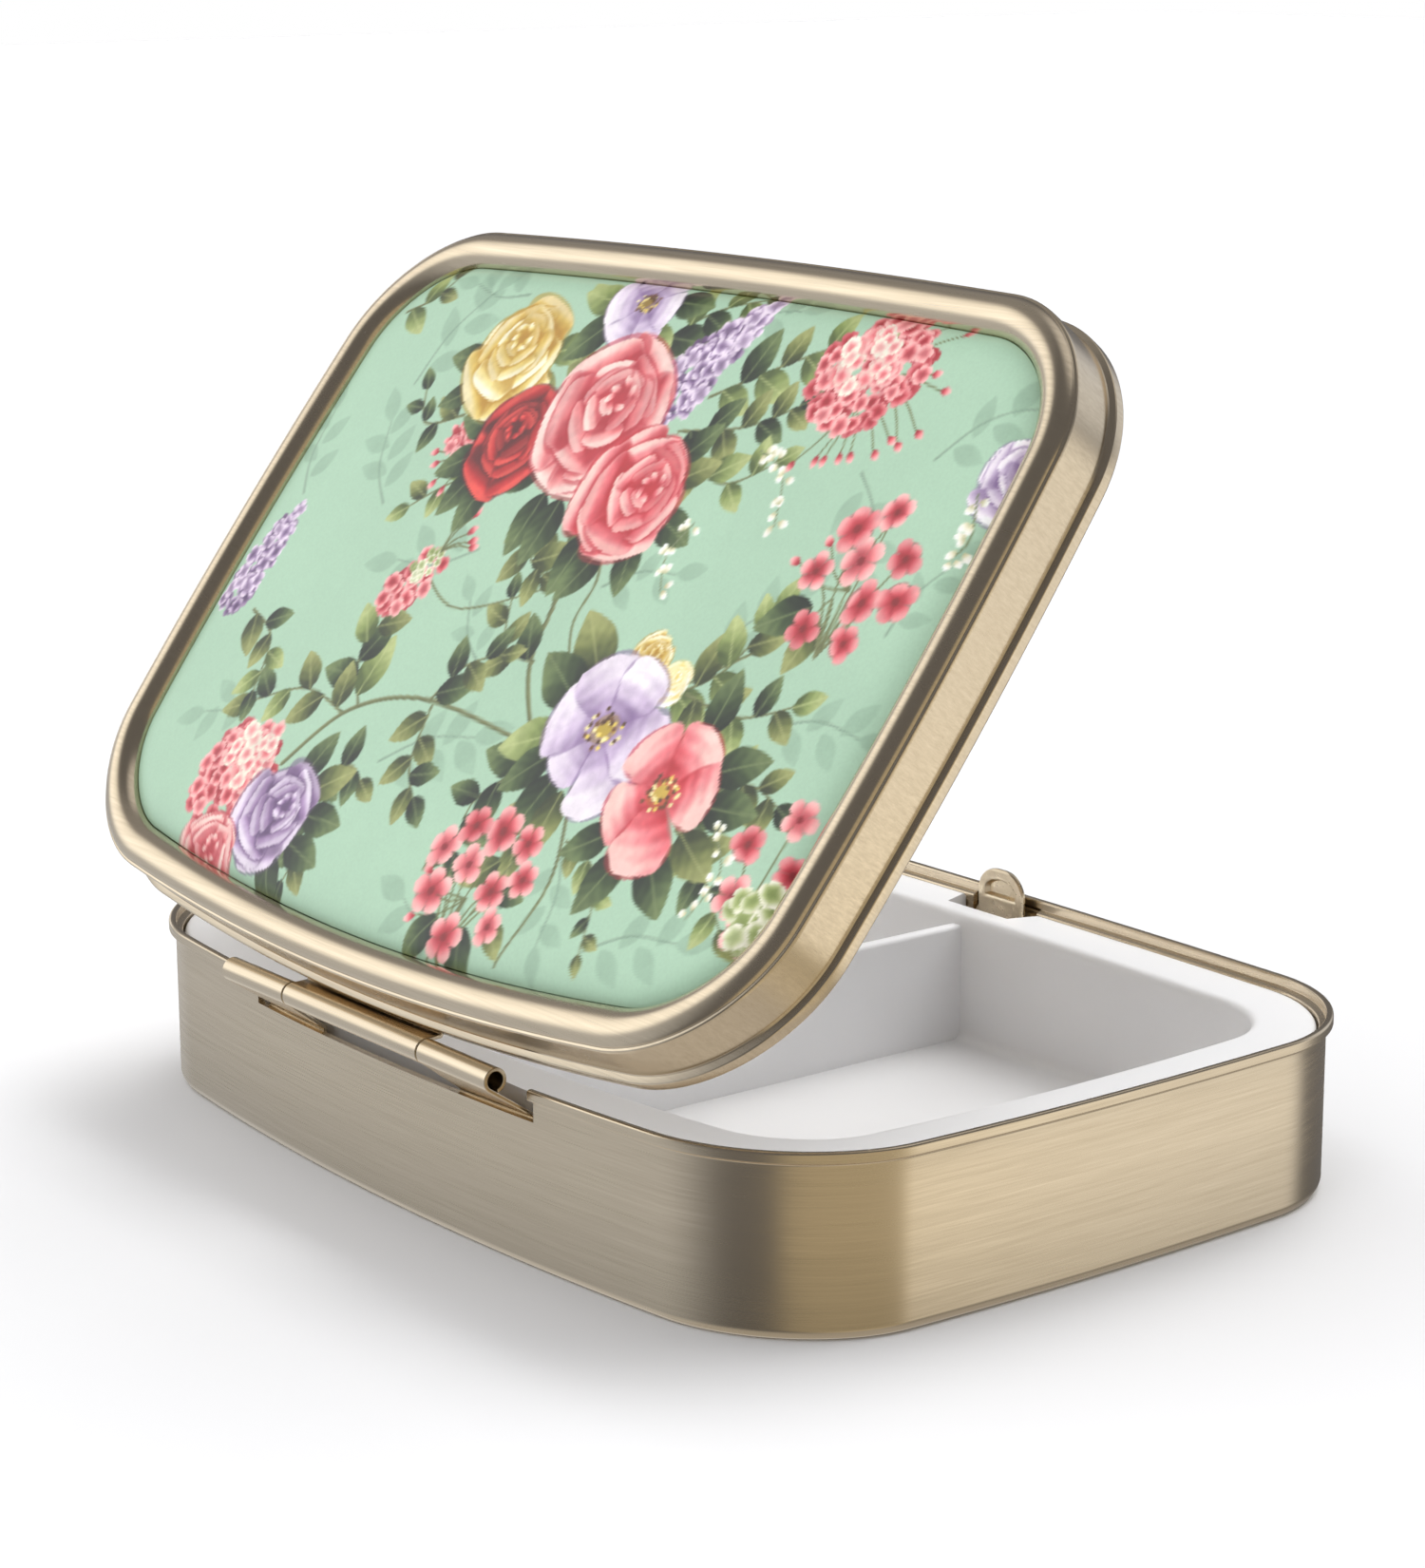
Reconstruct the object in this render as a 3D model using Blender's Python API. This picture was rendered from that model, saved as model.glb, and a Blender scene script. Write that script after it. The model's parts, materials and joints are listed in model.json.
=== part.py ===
"""A hinged metal pill box, built open at 52.5 degrees.

Frame: +X along the hinge, +Y to the hinge side, -Y to the latch side, +Z up.
The origin is the centre of the flat underside. Lengths below are millimetres.
Everything is drawn with the lid shut, then the lid's pieces are turned open about the hinge.
"""
import math

import bmesh
import bpy
from mathutils import Matrix, Vector

MM = 0.001

# Outline seen from above: a rounded rectangle whose sides bow outwards.
HALF_LENGTH = 35.0
HALF_WIDTH = 24.7
CORNER_RADIUS = 9.5
END_BOW = 1.0
FRONT_BOW = 0.75
REAR_BOW = 2.8
CORNER_STEPS = 12
LONG_SIDE_STEPS = 16
SHORT_SIDE_STEPS = 8

# Sheet metal pan and lid.
SHEET = 0.45
RIM_OVERHANG = 0.41
PAN_TOP = 10.75
LID_BOTTOM = 11.23
LID_WALL_TOP = 14.95
CROWN_TOP = 15.62
LID_PLATE_TOP = 14.0
PICTURE_INSET = 2.52

# White insert.
TRAY_GAP = 0.1
TRAY_BOTTOM = SHEET + TRAY_GAP
TRAY_TOP = 10.0
TRAY_FLOOR = 1.5
TRAY_WALL_INSET = 4.3
DIVIDER_CENTRE = 0.4
DIVIDER_THICKNESS = 1.0
DIVIDER_TOP = 9.2

# Hinge on the rear wall.
AXIS_Y = 26.25
AXIS_Z = 11.45
BARREL_RADIUS = 0.75
BORE_RADIUS = 0.52
PIN_RADIUS = 0.48
HINGE_HALF_LENGTH = 14.1
CENTRE_KNUCKLE_HALF = 7.15
KNUCKLE_GAP = 0.1
PIN_HALF_LENGTH = 12.6
ROLL_SWEEP = 308.0
NOTCH_HALF_LENGTH = 14.7
NOTCH_BOTTOM = 8.75
OPEN_ANGLE = 52.5

# Latch in the front wall.
LATCH_OUTER_Y = -24.15
LATCH_THICKNESS = 0.4
LATCH_ROOT_Z = 1.5
TONGUE_HALF_WIDTH = 2.2
TONGUE_TOP = 12.35
STRIP_HALF_WIDTH = 3.4
BUMP_HALF_WIDTH = 1.5
BUMP_BOTTOM = 10.45
BUMP_TOP = 11.62
BUMP_PROUD = 0.35
WINDOW_HALF_WIDTH = 3.1
WINDOW_BOTTOM = 4.4
WINDOW_TOP = 10.3
BUTTON_HALF_WIDTH = 2.8
BUTTON_BOTTOM = 4.7
BUTTON_TOP = 9.7
BUTTON_FACE_Y = -25.7

WORLD_ORIGIN = (0.0, 0.0, 0.0)
HINGE_ORIGIN = (0.0, AXIS_Y, AXIS_Z)
LATCH_ORIGIN = (0.0, LATCH_OUTER_Y, LATCH_ROOT_Z)

CHAMPAGNE = (0.55, 0.46, 0.34, 1.0)
PALE_METAL = (0.60, 0.52, 0.40, 1.0)
STEEL = (0.45, 0.43, 0.40, 1.0)
WHITE_PLASTIC = (0.86, 0.87, 0.88, 1.0)
MINT = (0.42, 0.62, 0.46, 1.0)
CLEAR = (0.90, 0.95, 0.92, 1.0)


def clear_scene():
    for item in list(bpy.data.objects):
        bpy.data.objects.remove(item, do_unlink=True)


def material(name, colour, metallic, roughness):
    made = bpy.data.materials.new(name)
    made.use_nodes = True
    shader = made.node_tree.nodes["Principled BSDF"]
    shader.inputs["Base Color"].default_value = colour
    shader.inputs["Metallic"].default_value = metallic
    shader.inputs["Roughness"].default_value = roughness
    return made


def finish(name, mesh_build, origin, look):
    """Turn a bmesh drawn in millimetres into a named object whose origin is the given point."""
    bmesh.ops.recalc_face_normals(mesh_build, faces=mesh_build.faces[:])
    mesh = bpy.data.meshes.new(name)
    mesh_build.to_mesh(mesh)
    mesh_build.free()
    mesh.transform(Matrix.Scale(MM, 4) @ Matrix.Translation(-Vector(origin)))
    mesh.shade_smooth()
    mesh.set_sharp_from_angle(angle=math.radians(38.0))
    item = bpy.data.objects.new(name, mesh)
    item.location = Vector(origin) * MM
    bpy.context.scene.collection.objects.link(item)
    if look is not None:
        mesh.materials.append(look)
    return item


def outline(inset):
    """Points round the box, the given distance in from the wall's outer face."""
    half_x = HALF_LENGTH - inset
    half_y = HALF_WIDTH - inset
    radius = max(CORNER_RADIUS - inset, 0.4)
    points = []
    for quarter, (side_x, side_y) in enumerate(((1, 1), (-1, 1), (-1, -1), (1, -1))):
        centre_x = side_x * (half_x - radius)
        centre_y = side_y * (half_y - radius)
        for step in range(CORNER_STEPS + 1):
            angle = math.radians(90.0 * (quarter + step / CORNER_STEPS))
            points.append((centre_x + radius * math.cos(angle), centre_y + radius * math.sin(angle)))
        side_steps = SHORT_SIDE_STEPS if quarter % 2 else LONG_SIDE_STEPS
        next_x = (half_x - radius) * (-1, -1, 1, 1)[quarter]
        next_y = (half_y - radius) * (1, -1, -1, 1)[quarter]
        turn = math.radians(90.0 * (quarter + 1))
        end = (next_x + radius * math.cos(turn), next_y + radius * math.sin(turn))
        start = points[-1]
        for step in range(1, side_steps):
            share = step / side_steps
            points.append((start[0] + (end[0] - start[0]) * share, start[1] + (end[1] - start[1]) * share))
    return [bowed(x, y, half_x, half_y) for x, y in points]


def bowed(x, y, half_x, half_y):
    """Draw the corners in, so the sides bow outwards between them."""
    side_bow = REAR_BOW if y > 0.0 else FRONT_BOW
    new_x = x - END_BOW * (x / half_x) * (y / half_y) ** 2
    new_y = y - side_bow * (y / half_y) * (x / half_x) ** 2
    return new_x, new_y


def skin(rings, closed=False):
    """Join rings of points side by side: with caps on both ends, or closed round on itself."""
    build = bmesh.new()
    made = [[build.verts.new(point) for point in ring] for ring in rings]
    count = len(made[0])
    pairs = list(zip(made, made[1:]))
    if closed:
        pairs.append((made[-1], made[0]))
    for low, high in pairs:
        for index in range(count):
            after = (index + 1) % count
            build.faces.new((low[index], low[after], high[after], high[index]))
    if not closed:
        build.faces.new(made[0])
        build.faces.new(made[-1])
    return build


def swept(profile):
    """Carry a profile of (inset, height) pairs round the box outline."""
    return skin([[(x, y, height) for x, y in outline(inset)] for inset, height in profile])


def prism(polygon, axis, low, high):
    """Extrude a flat polygon along one axis. The polygon gives the other two coordinates in order."""
    rings = []
    for along in (low, high):
        ring = []
        for first, second in polygon:
            point = [first, second]
            point.insert(axis, along)
            ring.append(tuple(point))
        rings.append(ring)
    return skin(rings)


def box_build(low, high):
    polygon = [(low[0], low[1]), (high[0], low[1]), (high[0], high[1]), (low[0], high[1])]
    return prism(polygon, 2, low[2], high[2])


def cut(target, name, build, origin=WORLD_ORIGIN, operation="DIFFERENCE"):
    """Take a hidden tool shape out of the target, or add it to the target."""
    tool = finish(name, build, origin, None)
    tool.hide_render = True
    tool.display_type = "WIRE"
    step = target.modifiers.new(name, "BOOLEAN")
    step.operation = operation
    step.solver = "EXACT"
    step.object = tool


def rounded_box(half_width, low, high, radius, steps=6):
    """Points of an upright rounded rectangle, as (x, z) pairs."""
    points = []
    middle = (low + high) / 2.0
    half_height = (high - low) / 2.0
    for quarter, (side_x, side_z) in enumerate(((1, 1), (-1, 1), (-1, -1), (1, -1))):
        for step in range(steps + 1):
            angle = math.radians(90.0 * (quarter + step / steps))
            x = side_x * (half_width - radius) + radius * math.cos(angle)
            z = middle + side_z * (half_height - radius) + radius * math.sin(angle)
            points.append((x, z))
    return points


# ---------------------------------------------------------------- pan and insert

def pan_profile():
    """Outer underside, up the wall, over the stepped rim, then down the inside to the floor."""
    out = -RIM_OVERHANG
    lip = out + SHEET
    return [
        (0.95, 0.0), (0.50, 0.07), (0.22, 0.25), (0.06, 0.52), (0.0, 0.9), (0.0, 9.85),
        (-0.05, 9.98), (-0.34, 10.13), (out, 10.26), (out, PAN_TOP - 0.12),
        (out + 0.06, PAN_TOP - 0.03), (out + 0.16, PAN_TOP), (lip - 0.14, PAN_TOP),
        (lip - 0.03, PAN_TOP - 0.05), (lip, PAN_TOP - 0.13), (lip, 10.40), (lip + 0.06, 10.29),
        (lip + 0.34, 10.14), (SHEET, 10.02), (SHEET, 0.92), (0.55, 0.63), (0.68, 0.52), (0.95, SHEET),
    ]


def build_pan(look):
    pan = finish("base_shell", swept(pan_profile()), WORLD_ORIGIN, look)
    notch = box_build((-NOTCH_HALF_LENGTH, 22.0, NOTCH_BOTTOM), (NOTCH_HALF_LENGTH, 27.0, 12.0))
    cut(pan, "cutter_hinge_notch", notch)
    window = box_build((-WINDOW_HALF_WIDTH, -27.0, WINDOW_BOTTOM), (WINDOW_HALF_WIDTH, -23.0, WINDOW_TOP))
    cut(pan, "cutter_button_window", window)


def tray_profile():
    outer = SHEET + TRAY_GAP
    inner = TRAY_WALL_INSET
    return [
        (1.45, TRAY_BOTTOM), (0.85, 0.72), (outer, 1.1), (outer, 9.55), (0.63, 9.80), (0.78, 9.94),
        (0.98, TRAY_TOP), (inner - 0.62, TRAY_TOP), (inner - 0.34, 9.93), (inner - 0.10, 9.72),
        (inner, 9.40), (inner + 0.15, 2.1), (inner + 0.28, 1.72), (inner + 0.62, TRAY_FLOOR),
    ]


def build_tray(look):
    tray = finish("tray_insert", swept(tray_profile()), WORLD_ORIGIN, look)
    half = DIVIDER_THICKNESS / 2.0
    section = [
        (DIVIDER_CENTRE - half - 0.06, 1.2), (DIVIDER_CENTRE + half + 0.06, 1.2),
        (DIVIDER_CENTRE + half, DIVIDER_TOP - 0.30), (DIVIDER_CENTRE + half - 0.09, DIVIDER_TOP - 0.09),
        (DIVIDER_CENTRE + half - 0.30, DIVIDER_TOP), (DIVIDER_CENTRE - half + 0.30, DIVIDER_TOP),
        (DIVIDER_CENTRE - half + 0.09, DIVIDER_TOP - 0.09), (DIVIDER_CENTRE - half, DIVIDER_TOP - 0.30),
    ]
    cut(tray, "tool_divider", prism(section, 1, -21.6, 21.6), operation="UNION")
    cut(tray, "cutter_leaf_room", box_build((-14.9, 23.35, 4.6), (14.9, 26.0, 12.0)))
    cut(tray, "cutter_strip_room", box_build((-3.75, -26.0, 1.2), (3.75, -22.95, 8.3)))
    notch = [(-4.05, -25.0), (4.05, -25.0), (2.9, -21.8), (-2.9, -21.8)]
    cut(tray, "cutter_tongue_notch", prism(notch, 2, 7.6, 12.0))


# ---------------------------------------------------------------- hinge

def offset_path(path, distance):
    """The path moved sideways to its left by the distance, with mitred corners."""
    moved = []
    for index, point in enumerate(path):
        before = path[max(index - 1, 0)]
        after = path[min(index + 1, len(path) - 1)]
        normals = []
        for start, end in ((before, point), (point, after)):
            run = Vector((end[0] - start[0], end[1] - start[1]))
            if run.length > 1e-6:
                run.normalize()
                normals.append(Vector((-run.y, run.x)))
        mean = (normals[0] + normals[-1]).normalized()
        reach = distance / mean.dot(normals[0])
        moved.append((point[0] + mean.x * reach, point[1] + mean.y * reach))
    return moved


def rolled_profile(tangent_angle, turn, tail):
    """A strip that runs along its tail, then rolls round the hinge axis.

    turn is +1 for a roll that goes anticlockwise seen from +X, and -1 for clockwise.
    Each point is (y, z, follow): follow 1 lets the point keep to the bowed wall.
    """
    def on_circle(radius, degrees):
        angle = math.radians(degrees)
        return AXIS_Y + radius * math.cos(angle), AXIS_Z + radius * math.sin(angle)

    steps = 36
    angles = [tangent_angle + turn * ROLL_SWEEP * step / steps for step in range(steps + 1)]
    outer_path = [on_circle(BARREL_RADIUS, tangent_angle)] + tail
    inner_path = offset_path(outer_path, -turn * (BARREL_RADIUS - BORE_RADIUS))
    points = [(y, z, 1.0) for y, z in reversed(outer_path[1:])]
    points += [on_circle(BARREL_RADIUS, angle) + (0.0,) for angle in angles]
    points += [on_circle(BORE_RADIUS, angle) + (0.0,) for angle in reversed(angles)]
    points += [(y, z, 1.0) for y, z in inner_path[1:]]
    return points


def leaf_build(profile, half_length, stations):
    rings = []
    for station in range(stations + 1):
        x = half_length * (2.0 * station / stations - 1.0)
        drop = REAR_BOW * (x / HALF_LENGTH) ** 2
        rings.append([(x, y - follow * drop, z) for y, z, follow in profile])
    return skin(rings)


def build_base_leaf(look):
    wall = HALF_WIDTH - SHEET - 0.05
    profile = rolled_profile(-50.0, 1, [(wall, 8.84), (wall, 5.0)])
    leaf = finish("base_hinge_leaf", leaf_build(profile, HINGE_HALF_LENGTH, 12), WORLD_ORIGIN, look)
    gap = CENTRE_KNUCKLE_HALF + KNUCKLE_GAP
    cut(leaf, "cutter_leaf_centre", box_build((-gap, 22.0, 7.4), (gap, 28.0, 14.0)))


def build_lid_leaf(look):
    wall = HALF_WIDTH - SHEET - 0.05
    under_lip = LID_BOTTOM - 0.10
    tail = [(25.14, under_lip), (wall, under_lip), (wall, 13.2)]
    profile = rolled_profile(147.2, -1, tail)
    return finish("lid_hinge_leaf", leaf_build(profile, CENTRE_KNUCKLE_HALF, 4), HINGE_ORIGIN, look)


def build_pin(look):
    steps = 32
    circle = [(AXIS_Y + PIN_RADIUS * math.cos(2.0 * math.pi * step / steps),
               AXIS_Z + PIN_RADIUS * math.sin(2.0 * math.pi * step / steps)) for step in range(steps)]
    finish("hinge_pin", prism(circle, 0, -PIN_HALF_LENGTH, PIN_HALF_LENGTH), WORLD_ORIGIN, look)


# ---------------------------------------------------------------- lid

def lid_profile():
    """Outside of the lid from its bottom edge over the crown to the sunk plate, then back underneath."""
    out = -RIM_OVERHANG
    lip = out + SHEET
    sunk = PICTURE_INSET
    return [
        (sunk + 0.25, LID_PLATE_TOP), (sunk + 0.02, LID_PLATE_TOP), (sunk, 14.66), (sunk - 0.10, 14.82),
        (2.22, 15.12), (1.92, 15.37), (1.55, 15.55), (1.15, CROWN_TOP), (0.78, 15.57), (0.48, 15.43),
        (0.30, 15.25), (0.24, 15.12), (0.18, 15.04), (0.08, 15.01), (0.0, LID_WALL_TOP), (0.0, 12.28),
        (-0.05, 12.16), (-0.34, 12.02), (out, 11.90), (out, LID_BOTTOM + 0.12),
        (out + 0.06, LID_BOTTOM + 0.03), (out + 0.16, LID_BOTTOM), (lip - 0.10, LID_BOTTOM),
        (lip, LID_BOTTOM + 0.08), (lip, 12.02), (lip + 0.06, 12.12), (lip + 0.34, 12.26), (SHEET, 12.38),
        (SHEET, 14.62), (0.58, 14.90), (0.82, 15.08), (1.15, 15.16), (1.50, 15.08), (1.84, 14.86),
        (2.02, 14.60), (2.07, 14.35), (2.07, 13.70), (2.22, LID_PLATE_TOP - SHEET),
        (3.4, LID_PLATE_TOP - SHEET),
    ]


def build_lid_shell(look):
    return finish("lid_shell", swept(lid_profile()), HINGE_ORIGIN, look)


def build_picture(look):
    profile = [(2.66, 14.03), (2.62, 14.06), (2.62, 14.15), (2.66, 14.18)]
    return finish("picture_sheet", swept(profile), HINGE_ORIGIN, look)


def build_dome(look):
    profile = [
        (2.70, 14.21), (2.62, 14.27), (2.60, 14.52), (2.66, 14.68), (2.84, 14.82), (3.2, 14.95),
        (3.8, 15.06), (4.8, 15.15), (6.4, 15.21), (8.8, 15.24),
    ]
    return finish("picture_dome", swept(profile), HINGE_ORIGIN, look)


def build_catch(look):
    """The slotted strip inside the lid's front lip, which the latch's bump snaps into."""
    outer = rounded_box(2.6, 10.05, 12.0, 0.3)
    inner = rounded_box(BUMP_HALF_WIDTH + 0.25, BUMP_BOTTOM - 0.07, BUMP_TOP + 0.10, 0.2)
    front, back = -24.60, -24.32
    rings = []
    for loop, y in ((outer, front), (outer, back), (inner, back), (inner, front)):
        rings.append([(x, y, z) for x, z in loop])
    return finish("lid_catch", skin(rings, closed=True), HINGE_ORIGIN, look)


# ---------------------------------------------------------------- latch

def tongue_outline():
    """A wide foot strip that narrows to a round-topped tongue, as (x, z) pairs."""
    right = [(STRIP_HALF_WIDTH, 1.4), (STRIP_HALF_WIDTH, 7.9), (STRIP_HALF_WIDTH - 0.2, 8.2),
             (TONGUE_HALF_WIDTH + 0.2, 8.8), (TONGUE_HALF_WIDTH, 9.1)]
    radius_x, radius_z = 1.9, 1.65
    for step in range(13):
        angle = math.radians(90.0 * step / 12)
        x = TONGUE_HALF_WIDTH - radius_x + radius_x * math.cos(angle)
        right.append((x, TONGUE_TOP - radius_z + radius_z * math.sin(angle)))
    return right + [(-x, z) for x, z in reversed(right)]


def dee(half_width, low, high, steps=12):
    """A flat-bottomed arch, as (x, z) pairs."""
    shoulder = low + 0.35 * (high - low)
    points = [(-half_width, low), (half_width, low)]
    for step in range(steps + 1):
        angle = math.pi * step / steps
        points.append((half_width * math.cos(angle), shoulder + (high - shoulder) * math.sin(angle)))
    return points


def dee_build(start_y, end_y, start, end):
    rings = [[(x, start_y, z) for x, z in start], [(x, end_y, z) for x, z in end]]
    return skin(rings)


def build_latch(look):
    inner_y = LATCH_OUTER_Y + LATCH_THICKNESS
    plate = finish("latch_spring", prism(tongue_outline(), 1, LATCH_OUTER_Y, inner_y), LATCH_ORIGIN, look)
    bevel = plate.modifiers.new("edge", "BEVEL")
    bevel.width = 0.08 * MM
    bevel.segments = 2
    bevel.limit_method = "ANGLE"
    bevel.angle_limit = math.radians(60.0)
    proud_y = LATCH_OUTER_Y - BUMP_PROUD
    bump = dee_build(LATCH_OUTER_Y + 0.15, proud_y,
                     dee(BUMP_HALF_WIDTH, BUMP_BOTTOM, BUMP_TOP),
                     dee(BUMP_HALF_WIDTH - 0.25, BUMP_BOTTOM, BUMP_TOP - 0.22))
    cut(plate, "tool_catch_bump", bump, operation="UNION")
    pocket = dee_build(inner_y + 0.2, LATCH_OUTER_Y - 0.08,
                       dee(BUMP_HALF_WIDTH + 0.02, BUMP_BOTTOM + 0.10, BUMP_TOP + 0.06),
                       dee(BUMP_HALF_WIDTH - 0.35, BUMP_BOTTOM + 0.15, BUMP_TOP - 0.25))
    cut(plate, "cutter_bump_pocket", pocket)


def build_button(look):
    """A hollow cap with its open back against the latch strip."""
    back_y = LATCH_OUTER_Y - 0.04
    outer = rounded_box(BUTTON_HALF_WIDTH, BUTTON_BOTTOM, BUTTON_TOP, 0.9)
    inner = rounded_box(BUTTON_HALF_WIDTH - 0.5, BUTTON_BOTTOM + 0.5, BUTTON_TOP - 0.5, 0.5)
    shoulder = rounded_box(BUTTON_HALF_WIDTH - 0.07, BUTTON_BOTTOM + 0.07, BUTTON_TOP - 0.07, 0.85)
    face = rounded_box(BUTTON_HALF_WIDTH - 0.28, BUTTON_BOTTOM + 0.28, BUTTON_TOP - 0.28, 0.7)
    levels = ((inner, BUTTON_FACE_Y + 0.5), (inner, back_y), (outer, back_y), (outer, BUTTON_FACE_Y + 0.28),
              (shoulder, BUTTON_FACE_Y + 0.10), (face, BUTTON_FACE_Y))
    rings = [[(x, y, z) for x, z in loop] for loop, y in levels]
    finish("push_button", skin(rings), LATCH_ORIGIN, look)


# ---------------------------------------------------------------- assembly

def build_base():
    build_pan(material("base_shell", CHAMPAGNE, 1.0, 0.34))
    build_tray(material("tray_insert", WHITE_PLASTIC, 0.0, 0.42))
    build_base_leaf(material("base_hinge_leaf", PALE_METAL, 1.0, 0.30))
    build_pin(material("hinge_pin", STEEL, 1.0, 0.35))


def build_lid():
    """The lid's pieces are drawn shut and turned open about the hinge axis."""
    pieces = [
        build_lid_shell(material("lid_shell", CHAMPAGNE, 1.0, 0.30)),
        build_lid_leaf(material("lid_hinge_leaf", PALE_METAL, 1.0, 0.30)),
        build_catch(material("lid_catch", STEEL, 1.0, 0.38)),
        build_picture(material("picture_sheet", MINT, 0.0, 0.55)),
        build_dome(material("picture_dome", CLEAR, 0.0, 0.06)),
    ]
    for piece in pieces:
        piece.rotation_euler = (math.radians(-OPEN_ANGLE), 0.0, 0.0)


def build_latch_group():
    build_latch(material("latch_spring", PALE_METAL, 1.0, 0.34))
    build_button(material("push_button", CHAMPAGNE, 1.0, 0.32))


clear_scene()
build_base()
build_lid()
build_latch_group()
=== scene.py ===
"""The pill box as seen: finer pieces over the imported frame, their materials, the print, light and camera.

Lengths are millimetres in the object's frame. Pieces of the lid are drawn shut and placed open by
LID_OPEN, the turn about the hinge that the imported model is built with.
"""
import json
import math
import random

import bmesh
import bpy
import numpy as np
from mathutils import Matrix, Vector


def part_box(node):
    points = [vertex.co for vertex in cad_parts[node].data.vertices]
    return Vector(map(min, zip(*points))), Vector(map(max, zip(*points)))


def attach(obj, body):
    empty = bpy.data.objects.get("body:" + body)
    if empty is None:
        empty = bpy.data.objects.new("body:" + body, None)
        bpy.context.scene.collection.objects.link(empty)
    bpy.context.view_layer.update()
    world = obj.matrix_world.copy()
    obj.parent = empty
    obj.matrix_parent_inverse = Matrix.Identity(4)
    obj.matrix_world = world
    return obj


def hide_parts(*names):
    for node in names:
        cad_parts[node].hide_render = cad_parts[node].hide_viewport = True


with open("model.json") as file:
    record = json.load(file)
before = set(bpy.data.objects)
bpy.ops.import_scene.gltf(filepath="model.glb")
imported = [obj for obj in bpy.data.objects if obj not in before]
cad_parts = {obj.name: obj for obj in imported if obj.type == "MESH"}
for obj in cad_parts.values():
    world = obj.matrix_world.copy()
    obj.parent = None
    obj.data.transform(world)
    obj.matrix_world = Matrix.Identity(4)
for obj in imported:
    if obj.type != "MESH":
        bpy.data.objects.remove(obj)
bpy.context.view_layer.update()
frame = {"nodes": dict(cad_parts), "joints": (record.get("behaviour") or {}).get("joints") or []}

MM = 0.001
SEED = 20

JOINTS = {joint["name"]: joint for joint in frame["joints"]}
HINGE = Vector(JOINTS["lid_hinge"]["pos_m"]) / MM
OPEN_ANGLE = -math.radians(JOINTS["lid_hinge"]["range_deg"][0])
HINGE_PLACE = Matrix.Translation(HINGE * MM)
LID_OPEN = HINGE_PLACE @ Matrix.Rotation(-OPEN_ANGLE, 4, "X") @ HINGE_PLACE.inverted()


def node_box(node):
    """A CAD node's lowest and highest corners in millimetres."""
    low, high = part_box(node)
    return low / MM, high / MM


# Outline seen from above: a rounded rectangle whose sides bow outwards.
PAN_LOW, PAN_HIGH = node_box("base_shell")
RIM_OVERHANG = 0.41
HALF_LENGTH = PAN_HIGH.x - RIM_OVERHANG
HALF_WIDTH = -PAN_LOW.y - RIM_OVERHANG
CORNER_RADIUS = 9.5
END_BOW = 1.0
FRONT_BOW = 0.75
REAR_BOW = 2.8
CORNER_STEPS = 30
LONG_SIDE_STEPS = 64
SHORT_SIDE_STEPS = 36

# Sheet metal and the lid.
SHEET = 0.45
PAN_TOP = PAN_HIGH.z
LID_BOTTOM = 11.23
LID_PLATE_TOP = 14.0
PICTURE_INSET = 2.52

# The picture's clear dome.
DOME_INSET = 2.56
DOME_EDGE_Z = 14.64
DOME_RISE = 0.60
PRINT_CELL = 0.14

# Hinge and latch.
NOTCH_HALF_LENGTH = 14.7
NOTCH_BOTTOM = 8.75
BARREL_RADIUS = 0.75
BORE_RADIUS = 0.52
CENTRE_KNUCKLE_HALF = 7.15
KNUCKLE_GAP = 0.1
ROLL_SWEEP = 308.0
WINDOW_HALF_WIDTH = 3.1
WINDOW_BOTTOM = 4.4
TONGUE_HALF_WIDTH = 2.2
LATCH_BOX = node_box("latch_spring")
BUTTON_BOX = node_box("push_button")


# ---------------------------------------------------------------- mesh helpers

QUARTERS = ((1, 1), (-1, 1), (-1, -1), (1, -1))


def long_side_shares():
    """Where the long sides have points, with some exactly at the edges of the cut-outs."""
    shares = [step / LONG_SIDE_STEPS for step in range(1, LONG_SIDE_STEPS)]
    straight_half = HALF_LENGTH - CORNER_RADIUS
    for x in (NOTCH_HALF_LENGTH, WINDOW_HALF_WIDTH):
        unbowed = x / (1.0 - END_BOW / HALF_LENGTH)
        for sign in (-1, 1):
            exact = 0.5 + sign * unbowed / (2.0 * straight_half)
            nearest = min(range(len(shares)), key=lambda index: abs(shares[index] - exact))
            shares[nearest] = exact
    return shares


LONG_SHARES = long_side_shares()
SHORT_SHARES = [step / SHORT_SIDE_STEPS for step in range(1, SHORT_SIDE_STEPS)]


def outline(inset):
    """Points round the box, the given distance in from the wall's outer face."""
    half_x = HALF_LENGTH - inset
    half_y = HALF_WIDTH - inset
    radius = max(CORNER_RADIUS - inset, 0.4)
    flat_x = half_x - radius
    flat_y = half_y - radius
    runs = ((-2.0 * flat_x, 0.0), (0.0, -2.0 * flat_y), (2.0 * flat_x, 0.0), (0.0, 2.0 * flat_y))
    points = []
    for quarter, ((side_x, side_y), (run_x, run_y)) in enumerate(zip(QUARTERS, runs)):
        for step in range(CORNER_STEPS + 1):
            angle = math.radians(90.0 * (quarter + step / CORNER_STEPS))
            points.append((side_x * flat_x + radius * math.cos(angle),
                           side_y * flat_y + radius * math.sin(angle)))
        start_x, start_y = points[-1]
        for share in (SHORT_SHARES if quarter % 2 else LONG_SHARES):
            points.append((start_x + run_x * share, start_y + run_y * share))
    flat = np.array(points)
    return bowed(flat[:, 0], flat[:, 1], half_x, half_y)


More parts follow.
